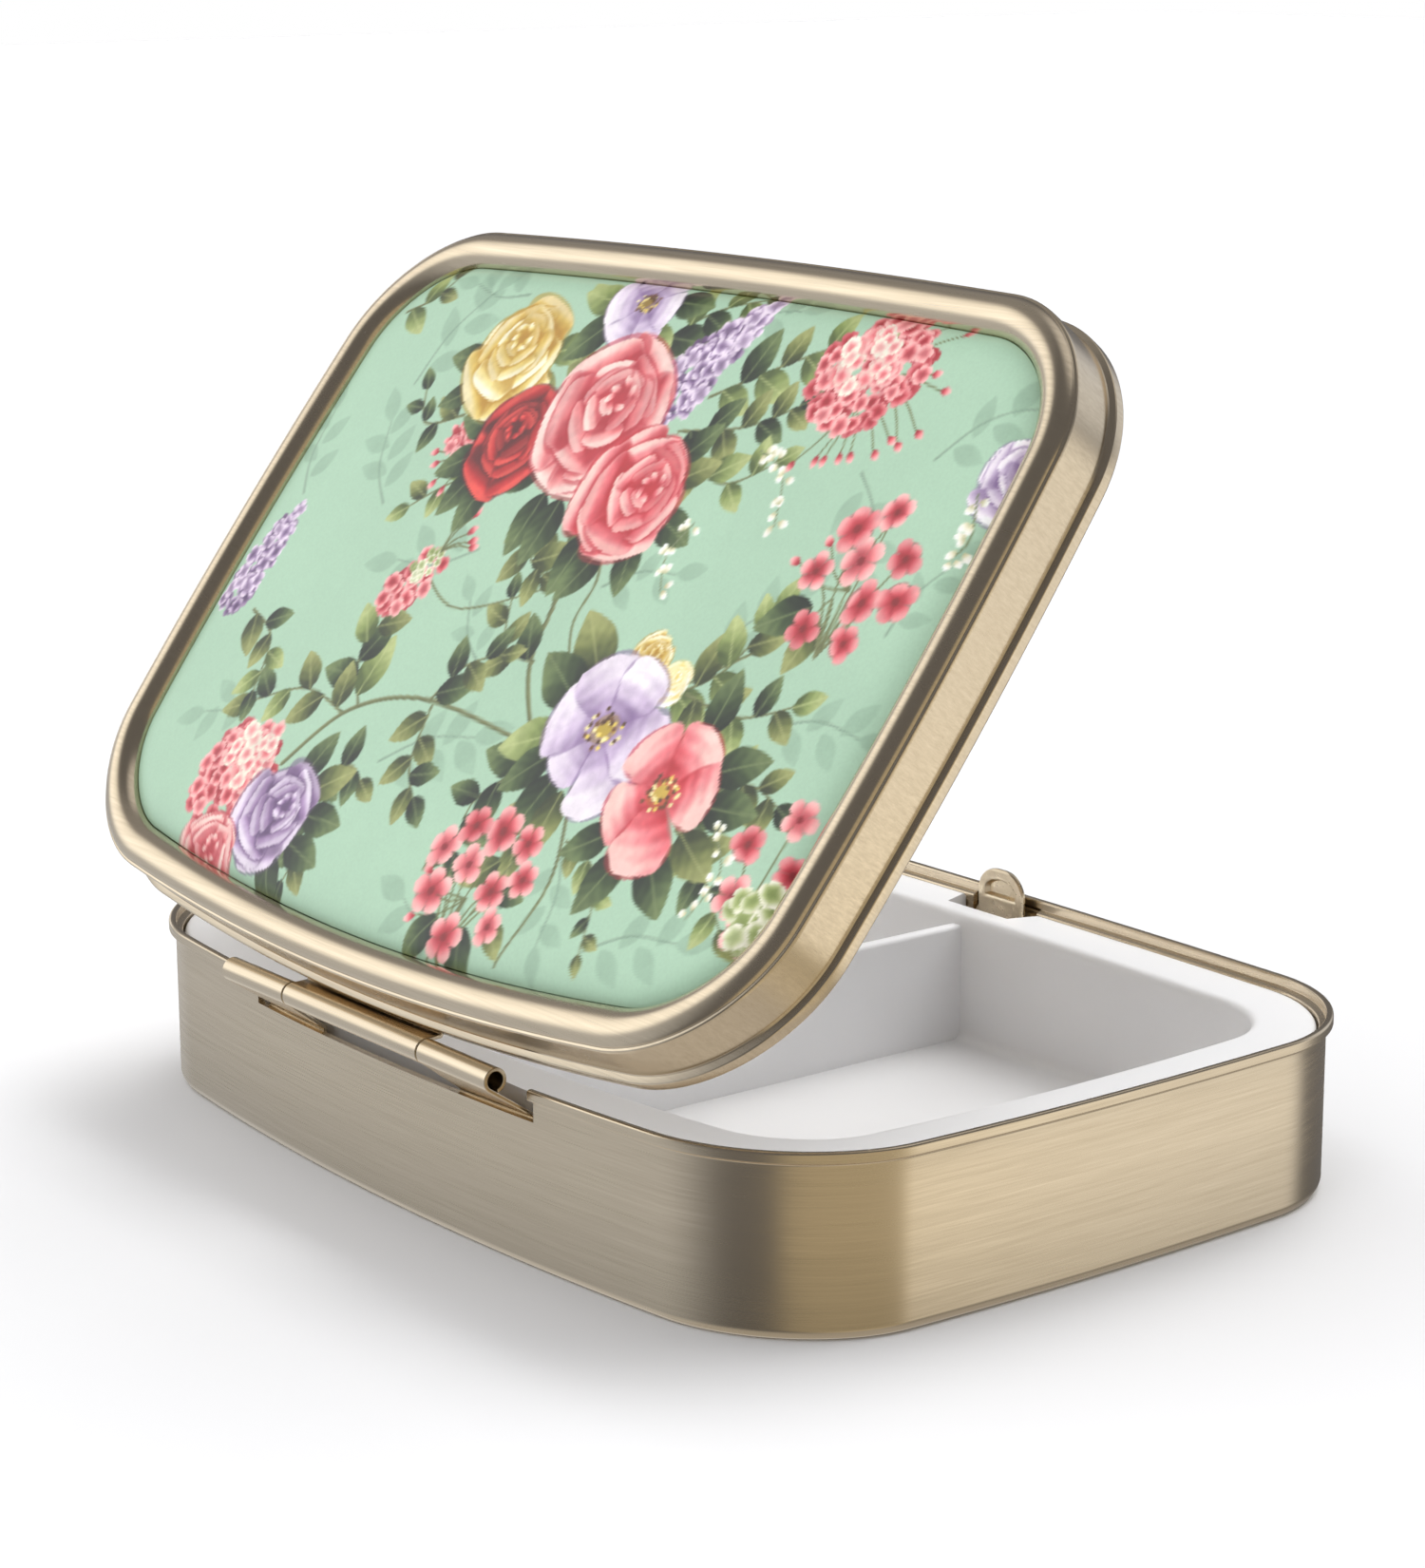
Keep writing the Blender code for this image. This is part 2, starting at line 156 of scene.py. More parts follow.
def bowed(x, y, half_x, half_y):
    """Draw the corners in, so the sides bow outwards between them."""
    side_bow = np.where(y > 0.0, REAR_BOW, FRONT_BOW)
    new_x = x - END_BOW * (x / half_x) * (y / half_y) ** 2
    new_y = y - side_bow * (y / half_y) * (x / half_x) ** 2
    return np.stack([new_x, new_y], axis=1)


def filleted(corners, steps=5):
    """A smooth profile from (inset, height, fillet radius) corners."""
    points = []
    for index, (across, height, radius) in enumerate(corners):
        here = Vector((across, height))
        if radius <= 0.0 or index in (0, len(corners) - 1):
            points.append(tuple(here))
            continue
        back = Vector(corners[index - 1][:2]) - here
        ahead = Vector(corners[index + 1][:2]) - here
        turn = back.angle(ahead)
        reach = min(radius / math.tan(turn / 2.0), 0.49 * back.length, 0.49 * ahead.length)
        start = here + back.normalized() * reach
        end = here + ahead.normalized() * reach
        for step in range(steps + 1):
            share = step / steps
            points.append(tuple(start.lerp(here, share).lerp(here.lerp(end, share), share)))
    return points


def ring_shape(profile, holes=()):
    """A closed skin: the profile of (inset, height) pairs carried round the outline."""
    rings = []
    for inset, height in profile:
        flat = outline(inset)
        rings.append(np.column_stack([flat, np.full(len(flat), height)]))
    return np.concatenate(rings), tube_faces(len(rings), len(flat), holes)


def closed_mesh(name, points, faces, placed=Matrix.Identity(4)):
    """A mesh from points in millimetres, without loose points and with its faces turned outwards."""
    build = bmesh.new()
    verts = [build.verts.new(placed @ (Vector(point) * MM)) for point in points]
    for face in faces:
        corners = [verts[index] for index in dict.fromkeys(face)]
        if len(corners) > 2:
            build.faces.new(corners)
    loose = [vert for vert in build.verts if not vert.link_faces]
    bmesh.ops.delete(build, geom=loose, context="VERTS")
    bmesh.ops.recalc_face_normals(build, faces=build.faces[:])
    mesh = bpy.data.meshes.new(name)
    build.to_mesh(mesh)
    build.free()
    return mesh


def smooth(mesh, sharp=35.0):
    """Smooth shading with edges kept sharp above an angle in degrees."""
    mesh.shade_smooth()
    mesh.set_sharp_from_angle(angle=math.radians(sharp))


def in_scene(name, data):
    item = bpy.data.objects.new(name, data)
    bpy.context.scene.collection.objects.link(item)
    return item


def make_piece(name, points, faces, body, slot, look, node, placed=Matrix.Identity(4)):
    """A named piece from points in millimetres that rides on a body and stands for a CAD node."""
    return place_mesh(name, closed_mesh(name, points, faces, placed), body, slot, look, node)


def place_mesh(name, mesh, body, slot, look, node, sharp=35.0):
    smooth(mesh, sharp)
    mesh.materials.append(look)
    piece = in_scene(name, mesh)
    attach(piece, body)
    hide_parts(node)
    return piece


def tube_faces(ring_count, column_count, holes=()):
    """Quads between neighbouring rings, and a face over each end.

    A hole is (first ring, last ring, first column, last column)."""
    faces = []
    for ring in range(ring_count - 1):
        low = ring * column_count
        high = low + column_count
        for column in range(column_count):
            if any(a <= ring < b and c <= column < d for a, b, c, d in holes):
                continue
            after = (column + 1) % column_count
            faces.append((low + column, low + after, high + after, high + column))
    first = tuple(range(column_count))
    last = tuple((ring_count - 1) * column_count + column for column in first)
    return faces + [first, last]


def prism_points(polygon, axis, low, high):
    """Points and faces of a flat polygon extruded along one axis."""
    points = []
    for along in (low, high):
        for first, second in polygon:
            point = [first, second]
            point.insert(axis, along)
            points.append(point)
    count = len(polygon)
    faces = [tuple(range(count)), tuple(range(count, 2 * count))]
    faces += [(i, (i + 1) % count, count + (i + 1) % count, count + i) for i in range(count)]
    return points, faces


def merge_shapes(piece, shapes):
    """Cut shapes out of a piece, or add them to it, and keep the result as its mesh."""
    tools = []
    for points, faces, operation in shapes:
        tool = in_scene("tool", closed_mesh("tool", points, faces))
        tool.matrix_world = piece.matrix_world
        step = piece.modifiers.new(tool.name, "BOOLEAN")
        step.operation = operation
        step.solver = "EXACT"
        step.object = tool
        tools.append(tool)
    bpy.context.view_layer.update()
    done = bpy.data.meshes.new_from_object(piece.evaluated_get(bpy.context.evaluated_depsgraph_get()))
    piece.modifiers.clear()
    piece.data = done
    smooth(done)
    for tool in tools:
        bpy.data.objects.remove(tool, do_unlink=True)


# ---------------------------------------------------------------- materials

class Nodes:
    """Short names for building one material's or world's node tree."""

    def __init__(self, tree):
        self.tree = tree

    def add(self, kind, **settings):
        node = self.tree.nodes.new(kind)
        for key, value in settings.items():
            setattr(node, key, value)
        return node

    def link(self, source, target):
        self.tree.links.new(source, target)

    def feed(self, socket, value):
        """Link a node's output to a socket, or set the socket's own value."""
        if hasattr(value, "is_output"):
            self.link(value, socket)
        else:
            socket.default_value = value

    def place(self, scale, shut=False):
        """Coordinates in millimetres times a scale for each axis, as if the lid were shut where asked."""
        source = self.add("ShaderNodeTexCoord").outputs["Object"]
        if shut:
            turn = self.add("ShaderNodeVectorRotate", rotation_type="X_AXIS")
            turn.inputs["Center"].default_value = HINGE * MM
            turn.inputs["Angle"].default_value = OPEN_ANGLE
            self.link(source, turn.inputs["Vector"])
            source = turn.outputs["Vector"]
        mapping = self.add("ShaderNodeMapping")
        mapping.inputs["Scale"].default_value = [value / MM for value in scale]
        self.link(source, mapping.inputs["Vector"])
        return mapping.outputs["Vector"]

    def noise(self, scale, detail, roughness, shut=False):
        """Noise with a number of cycles per millimetre along each axis."""
        node = self.add("ShaderNodeTexNoise")
        node.inputs["Scale"].default_value = 1.0
        node.inputs["Detail"].default_value = detail
        node.inputs["Roughness"].default_value = roughness
        self.link(self.place(scale, shut), node.inputs["Vector"])
        return node.outputs["Fac"]

    def span(self, value, low, high, to_low, to_high, smoothed=False):
        node = self.add("ShaderNodeMapRange")
        if smoothed:
            node.interpolation_type = "SMOOTHSTEP"
        settings = {"From Min": low, "From Max": high, "To Min": to_low, "To Max": to_high}
        for socket, number in settings.items():
            node.inputs[socket].default_value = number
        self.link(value, node.inputs["Value"])
        return node.outputs["Result"]

    def blend(self, share, first, second):
        node = self.add("ShaderNodeMix", data_type="RGBA")
        for number, value in ((0, share), (6, first), (7, second)):
            self.feed(node.inputs[number], value)
        return node.outputs[2]

    def math(self, kind, first, second):
        node = self.add("ShaderNodeMath", operation=kind)
        self.feed(node.inputs[0], first)
        self.feed(node.inputs[1], second)
        return node.outputs[0]

    def scaled(self, vector, factor):
        node = self.add("ShaderNodeVectorMath", operation="SCALE")
        self.feed(node.inputs[0], vector)
        self.feed(node.inputs["Scale"], factor)
        return node.outputs["Vector"]

    def bump(self, height, strength, depth):
        node = self.add("ShaderNodeBump")
        node.inputs["Strength"].default_value = strength
        node.inputs["Distance"].default_value = depth * MM
        self.link(height, node.inputs["Height"])
        return node.outputs["Normal"]


def new_material(name):
    made = bpy.data.materials.new(name)
    made.use_nodes = True
    return made, Nodes(made.node_tree), made.node_tree.nodes["Principled BSDF"]


def brushed_metal(name, grain, tones, roughness, streak_depth, anisotropy=0.0, shut=False, painted_foot_shade=1.0):
    """Metal with brushing: grain gives the noise's cycles per millimetre along each axis.

    Painted shade: the colour darkens towards the foot by that share of its brightness, standing in for the
    darker reflection low on the wall."""
    made, nodes, shader = new_material(name)
    bright, dark = ((*tone, 1.0) for tone in tones)
    streaks = nodes.noise(grain, 4.0, 0.6, shut)
    fine = nodes.noise([value * 2.7 for value in grain], 2.0, 0.5, shut)
    clouds = nodes.noise((0.07, 0.07, 0.12), 2.0, 0.5)
    both = nodes.math("ADD", nodes.math("MULTIPLY", streaks, 0.65), nodes.math("MULTIPLY", fine, 0.35))
    colour = nodes.blend(nodes.span(both, 0.32, 0.68, 0.0, 1.0), dark, bright)
    colour = nodes.blend(nodes.span(clouds, 0.3, 0.7, 0.0, 0.35), colour, bright)
    # Painted shade: the base colour darkens from 6.5 mm down to 0.5 mm above the bottom, in place of the
    # darker reflection near the floor.
    if painted_foot_shade < 1.0:
        height = nodes.add("ShaderNodeSeparateXYZ")
        nodes.link(nodes.place((1.0, 1.0, 1.0), shut), height.inputs[0])
        colour = nodes.scaled(colour, nodes.span(height.outputs["Z"], 0.5, 6.5, painted_foot_shade, 1.0))
    nodes.link(colour, shader.inputs["Base Color"])
    low, high = roughness
    rough = nodes.math("ADD", nodes.span(both, 0.3, 0.7, high, low),
                       nodes.span(clouds, 0.3, 0.7, -0.02, 0.03))
    nodes.link(rough, shader.inputs["Roughness"])
    shader.inputs["Metallic"].default_value = 1.0
    if anisotropy:
        shader.inputs["Anisotropic"].default_value = anisotropy
        tangent = nodes.add("ShaderNodeTangent", direction_type="RADIAL", axis="Z")
        nodes.link(tangent.outputs["Tangent"], shader.inputs["Tangent"])
    nodes.link(nodes.bump(both, 0.35, streak_depth), shader.inputs["Normal"])
    return made


def moulded_plastic(name, colour, shade, roughness):
    """Plain plastic with a faint moulded texture and slightly uneven gloss."""
    made, nodes, shader = new_material(name)
    grain = nodes.noise((2.2, 2.2, 2.2), 3.0, 0.6)
    clouds = nodes.noise((0.09, 0.09, 0.09), 2.0, 0.5)
    nodes.link(nodes.blend(nodes.span(clouds, 0.3, 0.7, 0.0, 1.0), (*colour, 1.0), (*shade, 1.0)),
               shader.inputs["Base Color"])
    nodes.link(nodes.span(clouds, 0.3, 0.7, roughness - 0.04, roughness + 0.05), shader.inputs["Roughness"])
    nodes.link(nodes.bump(grain, 0.12, 0.01), shader.inputs["Normal"])
    return made


def printed_face(name):
    """The print's painted colours under a clear coat, with a faint paper grain."""
    made, nodes, shader = new_material(name)
    paint = nodes.add("ShaderNodeVertexColor", layer_name="paint")
    grain = nodes.noise((5.0, 5.0, 5.0), 3.0, 0.6)
    toned = nodes.scaled(paint.outputs["Color"], nodes.span(grain, 0.3, 0.7, 0.965, 1.03))
    nodes.link(toned, shader.inputs["Base Color"])
    nodes.link(nodes.span(grain, 0.3, 0.7, 0.40, 0.47), shader.inputs["Roughness"])
    shader.inputs["Coat Weight"].default_value = 0.25
    shader.inputs["Coat Roughness"].default_value = 0.16
    return made


# Each metal's bright and dark tone.
CHAMPAGNE = ((0.72, 0.605, 0.445), (0.63, 0.525, 0.38))
PALE_CHAMPAGNE = ((0.80, 0.68, 0.50), (0.68, 0.57, 0.41))
STEEL = ((0.62, 0.60, 0.57), (0.50, 0.48, 0.45))

# The pan's colour carries painted shade towards its foot, a quarter darker at the bottom.
PAN_METAL = brushed_metal("pan_metal", (0.10, 0.10, 5.0), CHAMPAGNE, (0.20, 0.30), 0.005, 0.55, painted_foot_shade=0.76)
LID_METAL = brushed_metal("lid_metal", (0.12, 4.5, 1.2), CHAMPAGNE, (0.18, 0.28), 0.008, shut=True)
HINGE_METAL = brushed_metal("hinge_metal", (0.05, 3.0, 3.0), CHAMPAGNE, (0.20, 0.28), 0.004)
LATCH_METAL = brushed_metal("latch_metal", (2.5, 0.8, 2.5), PALE_CHAMPAGNE, (0.22, 0.34), 0.008)
PIN_METAL = brushed_metal("pin_metal", (0.1, 3.0, 3.0), STEEL, (0.28, 0.38), 0.004)
WHITE = moulded_plastic("insert_plastic", (0.86, 0.86, 0.87), (0.84, 0.84, 0.85), 0.38)
PAPER = moulded_plastic("sheet_paper", (0.80, 0.80, 0.77), (0.74, 0.74, 0.70), 0.60)
PRINT = printed_face("print")


# ---------------------------------------------------------------- print

CELLS = 15
GROUND = (0.676, 0.815, 0.703)
GHOST = (0.475, 0.600, 0.505)

OLIVE = ((0.20, 0.24, 0.10), (0.42, 0.46, 0.22), (0.62, 0.64, 0.38))
FOREST = ((0.09, 0.14, 0.07), (0.21, 0.29, 0.14), (0.42, 0.50, 0.29))
SAGE = ((0.30, 0.37, 0.16), (0.53, 0.60, 0.32), (0.71, 0.76, 0.49))
STEM = (0.46, 0.49, 0.27)
PINK = ((0.74, 0.14, 0.20), (0.95, 0.56, 0.56), (1.00, 0.86, 0.82))
ROSE = ((0.76, 0.10, 0.16), (0.94, 0.47, 0.50), (1.00, 0.82, 0.78))
RED = ((0.38, 0.00, 0.03), (0.76, 0.04, 0.08), (0.93, 0.30, 0.26))
YELLOW = ((0.74, 0.54, 0.10), (0.94, 0.84, 0.46), (1.00, 0.98, 0.86))
LILAC = ((0.34, 0.22, 0.40), (0.64, 0.52, 0.70), (0.95, 0.89, 0.95))
MAUVE = ((0.40, 0.28, 0.46), (0.68, 0.55, 0.73), (0.94, 0.89, 0.95))
PEARL = ((0.52, 0.40, 0.60), (0.83, 0.75, 0.86), (1.0, 0.97, 0.99))
CORAL = ((0.66, 0.05, 0.12), (0.91, 0.42, 0.45), (1.00, 0.76, 0.74))
STAMENS = ((0.95, 0.84, 0.36), (0.45, 0.26, 0.10), (0.98, 0.93, 0.66), (0.34, 0.20, 0.10))
CREAM = ((0.80, 0.78, 0.58), (0.97, 0.96, 0.88), (1.0, 1.0, 0.97))
PALE_CORAL = (CORAL[1], CORAL[2], CREAM[1])
PALE_SAGE = (SAGE[1], SAGE[2], CREAM[1])


def mix(first, second, share):
    return tuple(x + (y - x) * share for x, y in zip(first, second))


def ease(value, low, high):
    share = np.clip((value - low) / (high - low), 0.0, 1.0)
    return share * share * (3.0 - 2.0 * share)


def away(a, b, reach, angle):
    """The place that lies a distance off at a heading."""
    return a + reach * math.cos(angle), b + reach * math.sin(angle)


def blend_cells(grid, row, column, row_share, column_share):
    """The grid's values between a cell and its next ones along both ways."""
    low = grid[row, column] * (1 - column_share) + grid[row, column + 1] * column_share
    high = grid[row + 1, column] * (1 - column_share) + grid[row + 1, column + 1] * column_share
    return low * (1 - row_share) + high * row_share


class Painting:
    """Colours on small cells, placed in millimetres right (a) and up (b) of the print's middle."""

    def __init__(self, half_a, half_b):
        self.half = (half_a, half_b)
        self.shape = (int(2 * half_b * CELLS), int(2 * half_a * CELLS))
        self.dice = random.Random(SEED)
        self.brush = self.soft_noise(1.1) * 0.6 + self.soft_noise(0.35) * 0.4
        clouds = self.soft_noise(7.0)[:, :, None]
        self.rgb = np.array(GROUND) * (1.0 + 0.015 * clouds + 0.008 * self.brush[:, :, None])

    def soft_noise(self, size):
        """Smooth noise from -1 to 1 whose features are about the given size in millimetres."""
        rows, columns = (int(count / CELLS / size) + 3 for count in self.shape)
        rng = np.random.default_rng(SEED + int(size * 100))
        coarse = rng.uniform(-1.0, 1.0, (rows, columns))
        y = (np.arange(self.shape[0]) / CELLS / size)[:, None]
        x = (np.arange(self.shape[1]) / CELLS / size)[None, :]
        row_share, column_share = ease(y % 1.0, 0.0, 1.0), ease(x % 1.0, 0.0, 1.0)
        return blend_cells(coarse, y.astype(int), x.astype(int), row_share, column_share)

    def window(self, a, b, reach):
        """The part of the sheet within reach of a place, with each cell's offset from that place."""
        spans = []
        for middle, half, count in ((b, self.half[1], self.shape[0]), (a, self.half[0], self.shape[1])):
            first = max(int((middle - reach + half) * CELLS), 0)
            last = min(int((middle + reach + half) * CELLS) + 2, count)
            if last <= first:
                return None, None, None
            spans.append((first, last))
        (row_a, row_b), (col_a, col_b) = spans
        up = (np.arange(row_a, row_b) + 0.5) / CELLS - self.half[1] - b
        across = (np.arange(col_a, col_b) + 0.5) / CELLS - self.half[0] - a
        return (slice(row_a, row_b), slice(col_a, col_b)), across[None, :], up[:, None]

    def lay(self, spot, cover, colour, texture=0.07):
        colour = np.asarray(colour, float)
        if colour.ndim == 1:
            colour = np.broadcast_to(colour, cover.shape + (3,))
        toned = np.clip(colour * (1.0 + texture * self.brush[spot][:, :, None]), 0.0, 1.0)
        share = cover[:, :, None]
        self.rgb[spot] = self.rgb[spot] * (1.0 - share) + toned * share

    def blade(self, a, b, angle, length, width, tones, peak=0.6, blunt=0.6, opacity=1.0, bend=0.0,
              ruffle=0.0, side=0.0, rim=0.0, veins=0.0, rib=None, soft=1.0, start=0.0):
        """A petal or leaf from its base at (a, b), deep up to the start share and light at the tip."""
        spot, across, up = self.window(a, b, max(length, width) * 1.15)
        if spot is None:
            return
        along = (across * math.cos(angle) + up * math.sin(angle)) / length
        over = (up * math.cos(angle) - across * math.sin(angle)) / (0.5 * width)
        along, over = np.broadcast_arrays(along, over)
        over = over - bend * (along * along - 0.3)
        share = np.clip(along, 0.0, 1.0)
        half = np.sin(math.pi * share ** (math.log(0.5) / math.log(peak))) ** blunt
        if ruffle:
            phase = self.dice.uniform(0.0, 6.0)
            half = half * (1.0 + ruffle * np.sin(over * 7.0 + phase) * ease(along, 0.5, 1.0)
                           + 0.5 * ruffle * np.sin(along * 17.0 + phase))
        depth = (half - np.abs(over)) * 0.5 * width
        inside = (along > 0.0) & (along < 1.0)
        cover = np.where(inside, np.clip(depth * CELLS / soft + 0.5, 0.0, 1.0), 0.0) * opacity
        if not cover.any():
            return
        deep, middle, light = (np.array(tone) for tone in tones)
        tone = ease(along, start, 0.95) * 2.0 + side * over + 0.16 * self.brush[spot]
        if veins:
            slant = -0.9 if rib else 0.25
            tone = tone + veins * np.sin((along * 3.2 + np.abs(over) * slant) * 9.0 + over * 2.0)
        tone = np.clip(tone, 0.0, 2.0)[:, :, None]
        colour = np.where(tone < 1.0, deep + (middle - deep) * tone, middle + (light - middle) * (tone - 1.0))
        if rim:
            edge = np.exp(-np.clip(depth, 0.0, 9.0) / 0.16) * rim * ease(along, 0.35, 0.8)
            colour = colour + (light - colour) * np.clip(edge, 0.0, 1.0)[:, :, None]
        if rib is not None:
            line = np.exp(-(over * width / 0.16) ** 2)[:, :, None] * 0.65
            colour = colour + (np.array(rib) - colour) * line
        self.lay(spot, cover, colour)

    def dot(self, a, b, size, colour, opacity=1.0, squash=1.0, angle=0.0):
        spot, across, up = self.window(a, b, size * 1.5)
        if spot is None:
            return
        x = across * math.cos(angle) + up * math.sin(angle)
        y = (up * math.cos(angle) - across * math.sin(angle)) / squash
        depth = size - np.sqrt(x * x + y * y)
        cover = np.clip(depth * CELLS + 0.5, 0.0, 1.0) * opacity
        self.lay(spot, cover, colour)

    def stem(self, points, start_width, end_width, colour=STEM, opacity=1.0):
        """A curved stem through the points: pairs in millimetres, smoothed."""
        curve = smooth_path(points, 14)
        count = len(curve)
        for index in range(count - 1):
            (a, b), (c, d) = curve[index], curve[index + 1]
            width = start_width + (end_width - start_width) * index / count
            run = math.hypot(c - a, d - b) + 1e-6
            spot, across, up = self.window((a + c) / 2, (b + d) / 2, run / 2 + width)
            if spot is None:
                continue
            ca, sa = (c - a) / run, (d - b) / run
            along = across * ca + up * sa
            over = up * ca - across * sa
            depth = 0.5 * width - np.hypot(np.clip(np.abs(along) - run / 2, 0.0, None), over)
            cover = np.clip(depth * CELLS + 0.5, 0.0, 1.0) * opacity
            light = ease(over / width, -0.4, 0.4)[:, :, None] * 0.35
            base = np.array(colour) * 0.82
            self.lay(spot, cover, base + (np.array(mix(colour, (1.0, 1.0, 0.85), 0.5)) - base) * light)

    # Leaves and flowers

    def leaf(self, a, b, angle, length, tones):
        turn = self.dice.uniform(-0.25, 0.25)
        side = self.dice.choice((-0.42, 0.42))
        rib = mix(tones[2], (0.9, 0.9, 0.7), 0.2)
        self.blade(a, b, angle, length, length * 0.60, tones, peak=0.42, blunt=0.85, bend=turn, side=side,
                   veins=0.10, rib=rib, ruffle=0.03)

    def spray(self, points, leaves, length, tones, stem=0.22):
        """A stem with leaves in turn on its two sides, growing smaller to the leaf at its end."""
        self.stem(points, stem, stem * 0.45)
        curve = smooth_path(points, 20)
        for index in range(leaves):
            share = 0.15 + (0.97 - 0.15) * index / (leaves - 1)
            near = int(share * (len(curve) - 2))
            here, ahead = curve[near], curve[near + 1]
            heading = math.atan2(ahead[1] - here[1], ahead[0] - here[0])
            side = 0.0 if index == leaves - 1 else (1.0 if index % 2 else -1.0)
            size = length * (1.0 - 0.35 * share) * self.dice.uniform(0.85, 1.12)
            turn = side * 0.95 * self.dice.uniform(0.8, 1.15)
            self.leaf(*here, heading + turn, size, self.dice.choice(tones))

    def foliage(self, a, b, reach, turns, length, tones):
        """Leaves that show from under a flower, at the given headings."""
        for turn in turns:
            near = reach * self.dice.uniform(0.62, 0.80)
            self.leaf(*away(a, b, near, turn), turn + self.dice.uniform(-0.35, 0.35),
                      length * self.dice.uniform(0.85, 1.15), self.dice.choice(tones))

    def ghost(self, a, b, heading, size, count):
        """A pale shadow sprig behind the flowers."""
        strength = 0.34
        end = away(a, b, size, heading)
        self.stem([(a, b), away(a, b, 0.5 * size, heading + 0.2), end], 0.22, 0.12, GHOST, strength)
        tones = (mix(GHOST, GROUND, 0.1), GHOST, mix(GHOST, GROUND, 0.3))
        for index in range(count):
            share = 0.2 + 0.8 * index / (count - 1)
            side = 0.0 if index == count - 1 else (0.9 if index % 2 else -0.9)
            self.blade(*mix((a, b), end, share), heading + side, size * 0.42, size * 0.20, tones, peak=0.45,
                       blunt=0.9, opacity=strength, soft=2.0)

    def rose(self, a, b, size, tones, tilt):
        """A full garden rose: loose outer petals, then tighter ones round a deep cup that faces the tilt."""
        deep, _, light = tones
        rings = ((6, 1.00, 1.10, 0.62), (5, 0.80, 1.15, 0.55), (5, 0.60, 1.10, 0.45), (4, 0.42, 1.15, 0.35),
                 (3, 0.27, 1.10, 0.20))
        for ring, (count, reach, spread, start) in enumerate(rings):
            heart = away(a, b, 0.34 * size * (1.0 - reach), tilt)
            order = [step + 0.5 * (ring % 2) for step in range(count)]
            self.dice.shuffle(order)
            for step in order:
                angle = 2.0 * math.pi * step / count + self.dice.uniform(-0.30, 0.30)
                facing = 0.5 + 0.5 * math.cos(angle - tilt)
                length = size * reach * (1.0 - (1.0 - 0.88) * facing) * self.dice.uniform(0.86, 1.10)
                width = length * spread * self.dice.uniform(0.95, 1.25)
                warm = self.dice.uniform(-0.30, 0.25) - 0.10 * ring + 0.25 * (0.5 - facing)
                petal = tuple(mix(tone, light if warm > 0 else deep, min(abs(warm), 0.8)) for tone in tones)
                self.blade(*heart, angle, length * 1.05, width * 1.06, (deep, deep, deep), peak=0.68,
                           blunt=0.45, opacity=0.50, soft=3.0)
                self.blade(*heart, angle, length, width, petal, peak=0.72, blunt=0.42, ruffle=0.10,
                           side=self.dice.uniform(-0.55, 0.55), rim=0.65, veins=0.14, start=start,
                           bend=self.dice.uniform(-0.3, 0.3))
        cup = away(a, b, 0.26 * size, tilt)
        self.dot(*cup, size * 0.17, deep, 0.75, 0.8, tilt)
        for step in range(6):
            angle = tilt + step * 2.4
            curl = away(*cup, size * 0.05 * (step % 3 + 0.6), angle)
            self.blade(*curl, angle + 1.3, size * 0.20, size * 0.10, tones, bend=0.9, rim=0.5)

    def blossom(self, a, b, size, tones, heart, petals):
        """A wide open flower of ruffled petals with a dotted heart of stamens."""
        deep, middle, _ = tones
        tilt, squash = 0.6, 0.82
        order = list(range(petals))
        self.dice.shuffle(order)
        for step in order:
            angle = 2.0 * math.pi * step / petals + self.dice.uniform(-0.15, 0.15)
            facing = abs(math.sin(angle - tilt))
            length = size * (squash + (1.0 - squash) * facing) * self.dice.uniform(0.88, 1.10)
            warm = self.dice.uniform(0.0, 0.4)
            petal = tuple(mix(tone, middle, warm) for tone in tones)
            self.blade(a, b, angle, length * 1.04, length * 0.98, (deep, deep, deep), peak=0.7, blunt=0.45,
                       opacity=0.55, soft=2.5)
            self.blade(a, b, angle, length, length * 0.94, petal, peak=0.74, blunt=0.40, ruffle=0.12,
                       side=self.dice.choice((-0.7, 0.6)), rim=0.4, veins=0.16, start=0.05,
                       bend=self.dice.uniform(-0.25, 0.25))
        self.dot(a, b, size * 0.21, mix(heart, deep, 0.55), 0.8, 0.85, tilt)
        self.dot(a, b, size * 0.12, heart, 0.95, 0.85, tilt)
        for step in range(34):
            angle = step * 2.4
            reach = size * (0.10 + 0.20 * self.dice.random())
            self.dot(a + reach * math.cos(angle), b + reach * 0.85 * math.sin(angle), size * 0.030,
                     self.dice.choice(STAMENS))

    def floret(self, a, b, size, tones, petals, heart=None):
        """One small flower of a cluster, seen more or less from its side."""
        turn = self.dice.uniform(0.0, 6.28)
        squash = self.dice.uniform(0.62, 1.0)
        lean = self.dice.uniform(0.0, 3.14)
        spread = 0.74 if heart else 0.86
        self.dot(a, b, size * 0.75, tones[0], 0.40)
        for step in range(petals):
            angle = turn + 2.0 * math.pi * step / petals
            length = size * (squash + (1.0 - squash) * abs(math.sin(angle - lean)))
            self.blade(a, b, angle, length, size * spread, tones, peak=0.70, blunt=0.5, rim=0.35, start=0.1,
                       side=self.dice.uniform(-0.45, 0.45))
        self.dot(a, b, size * 0.17, heart or tones[0], 0.8)

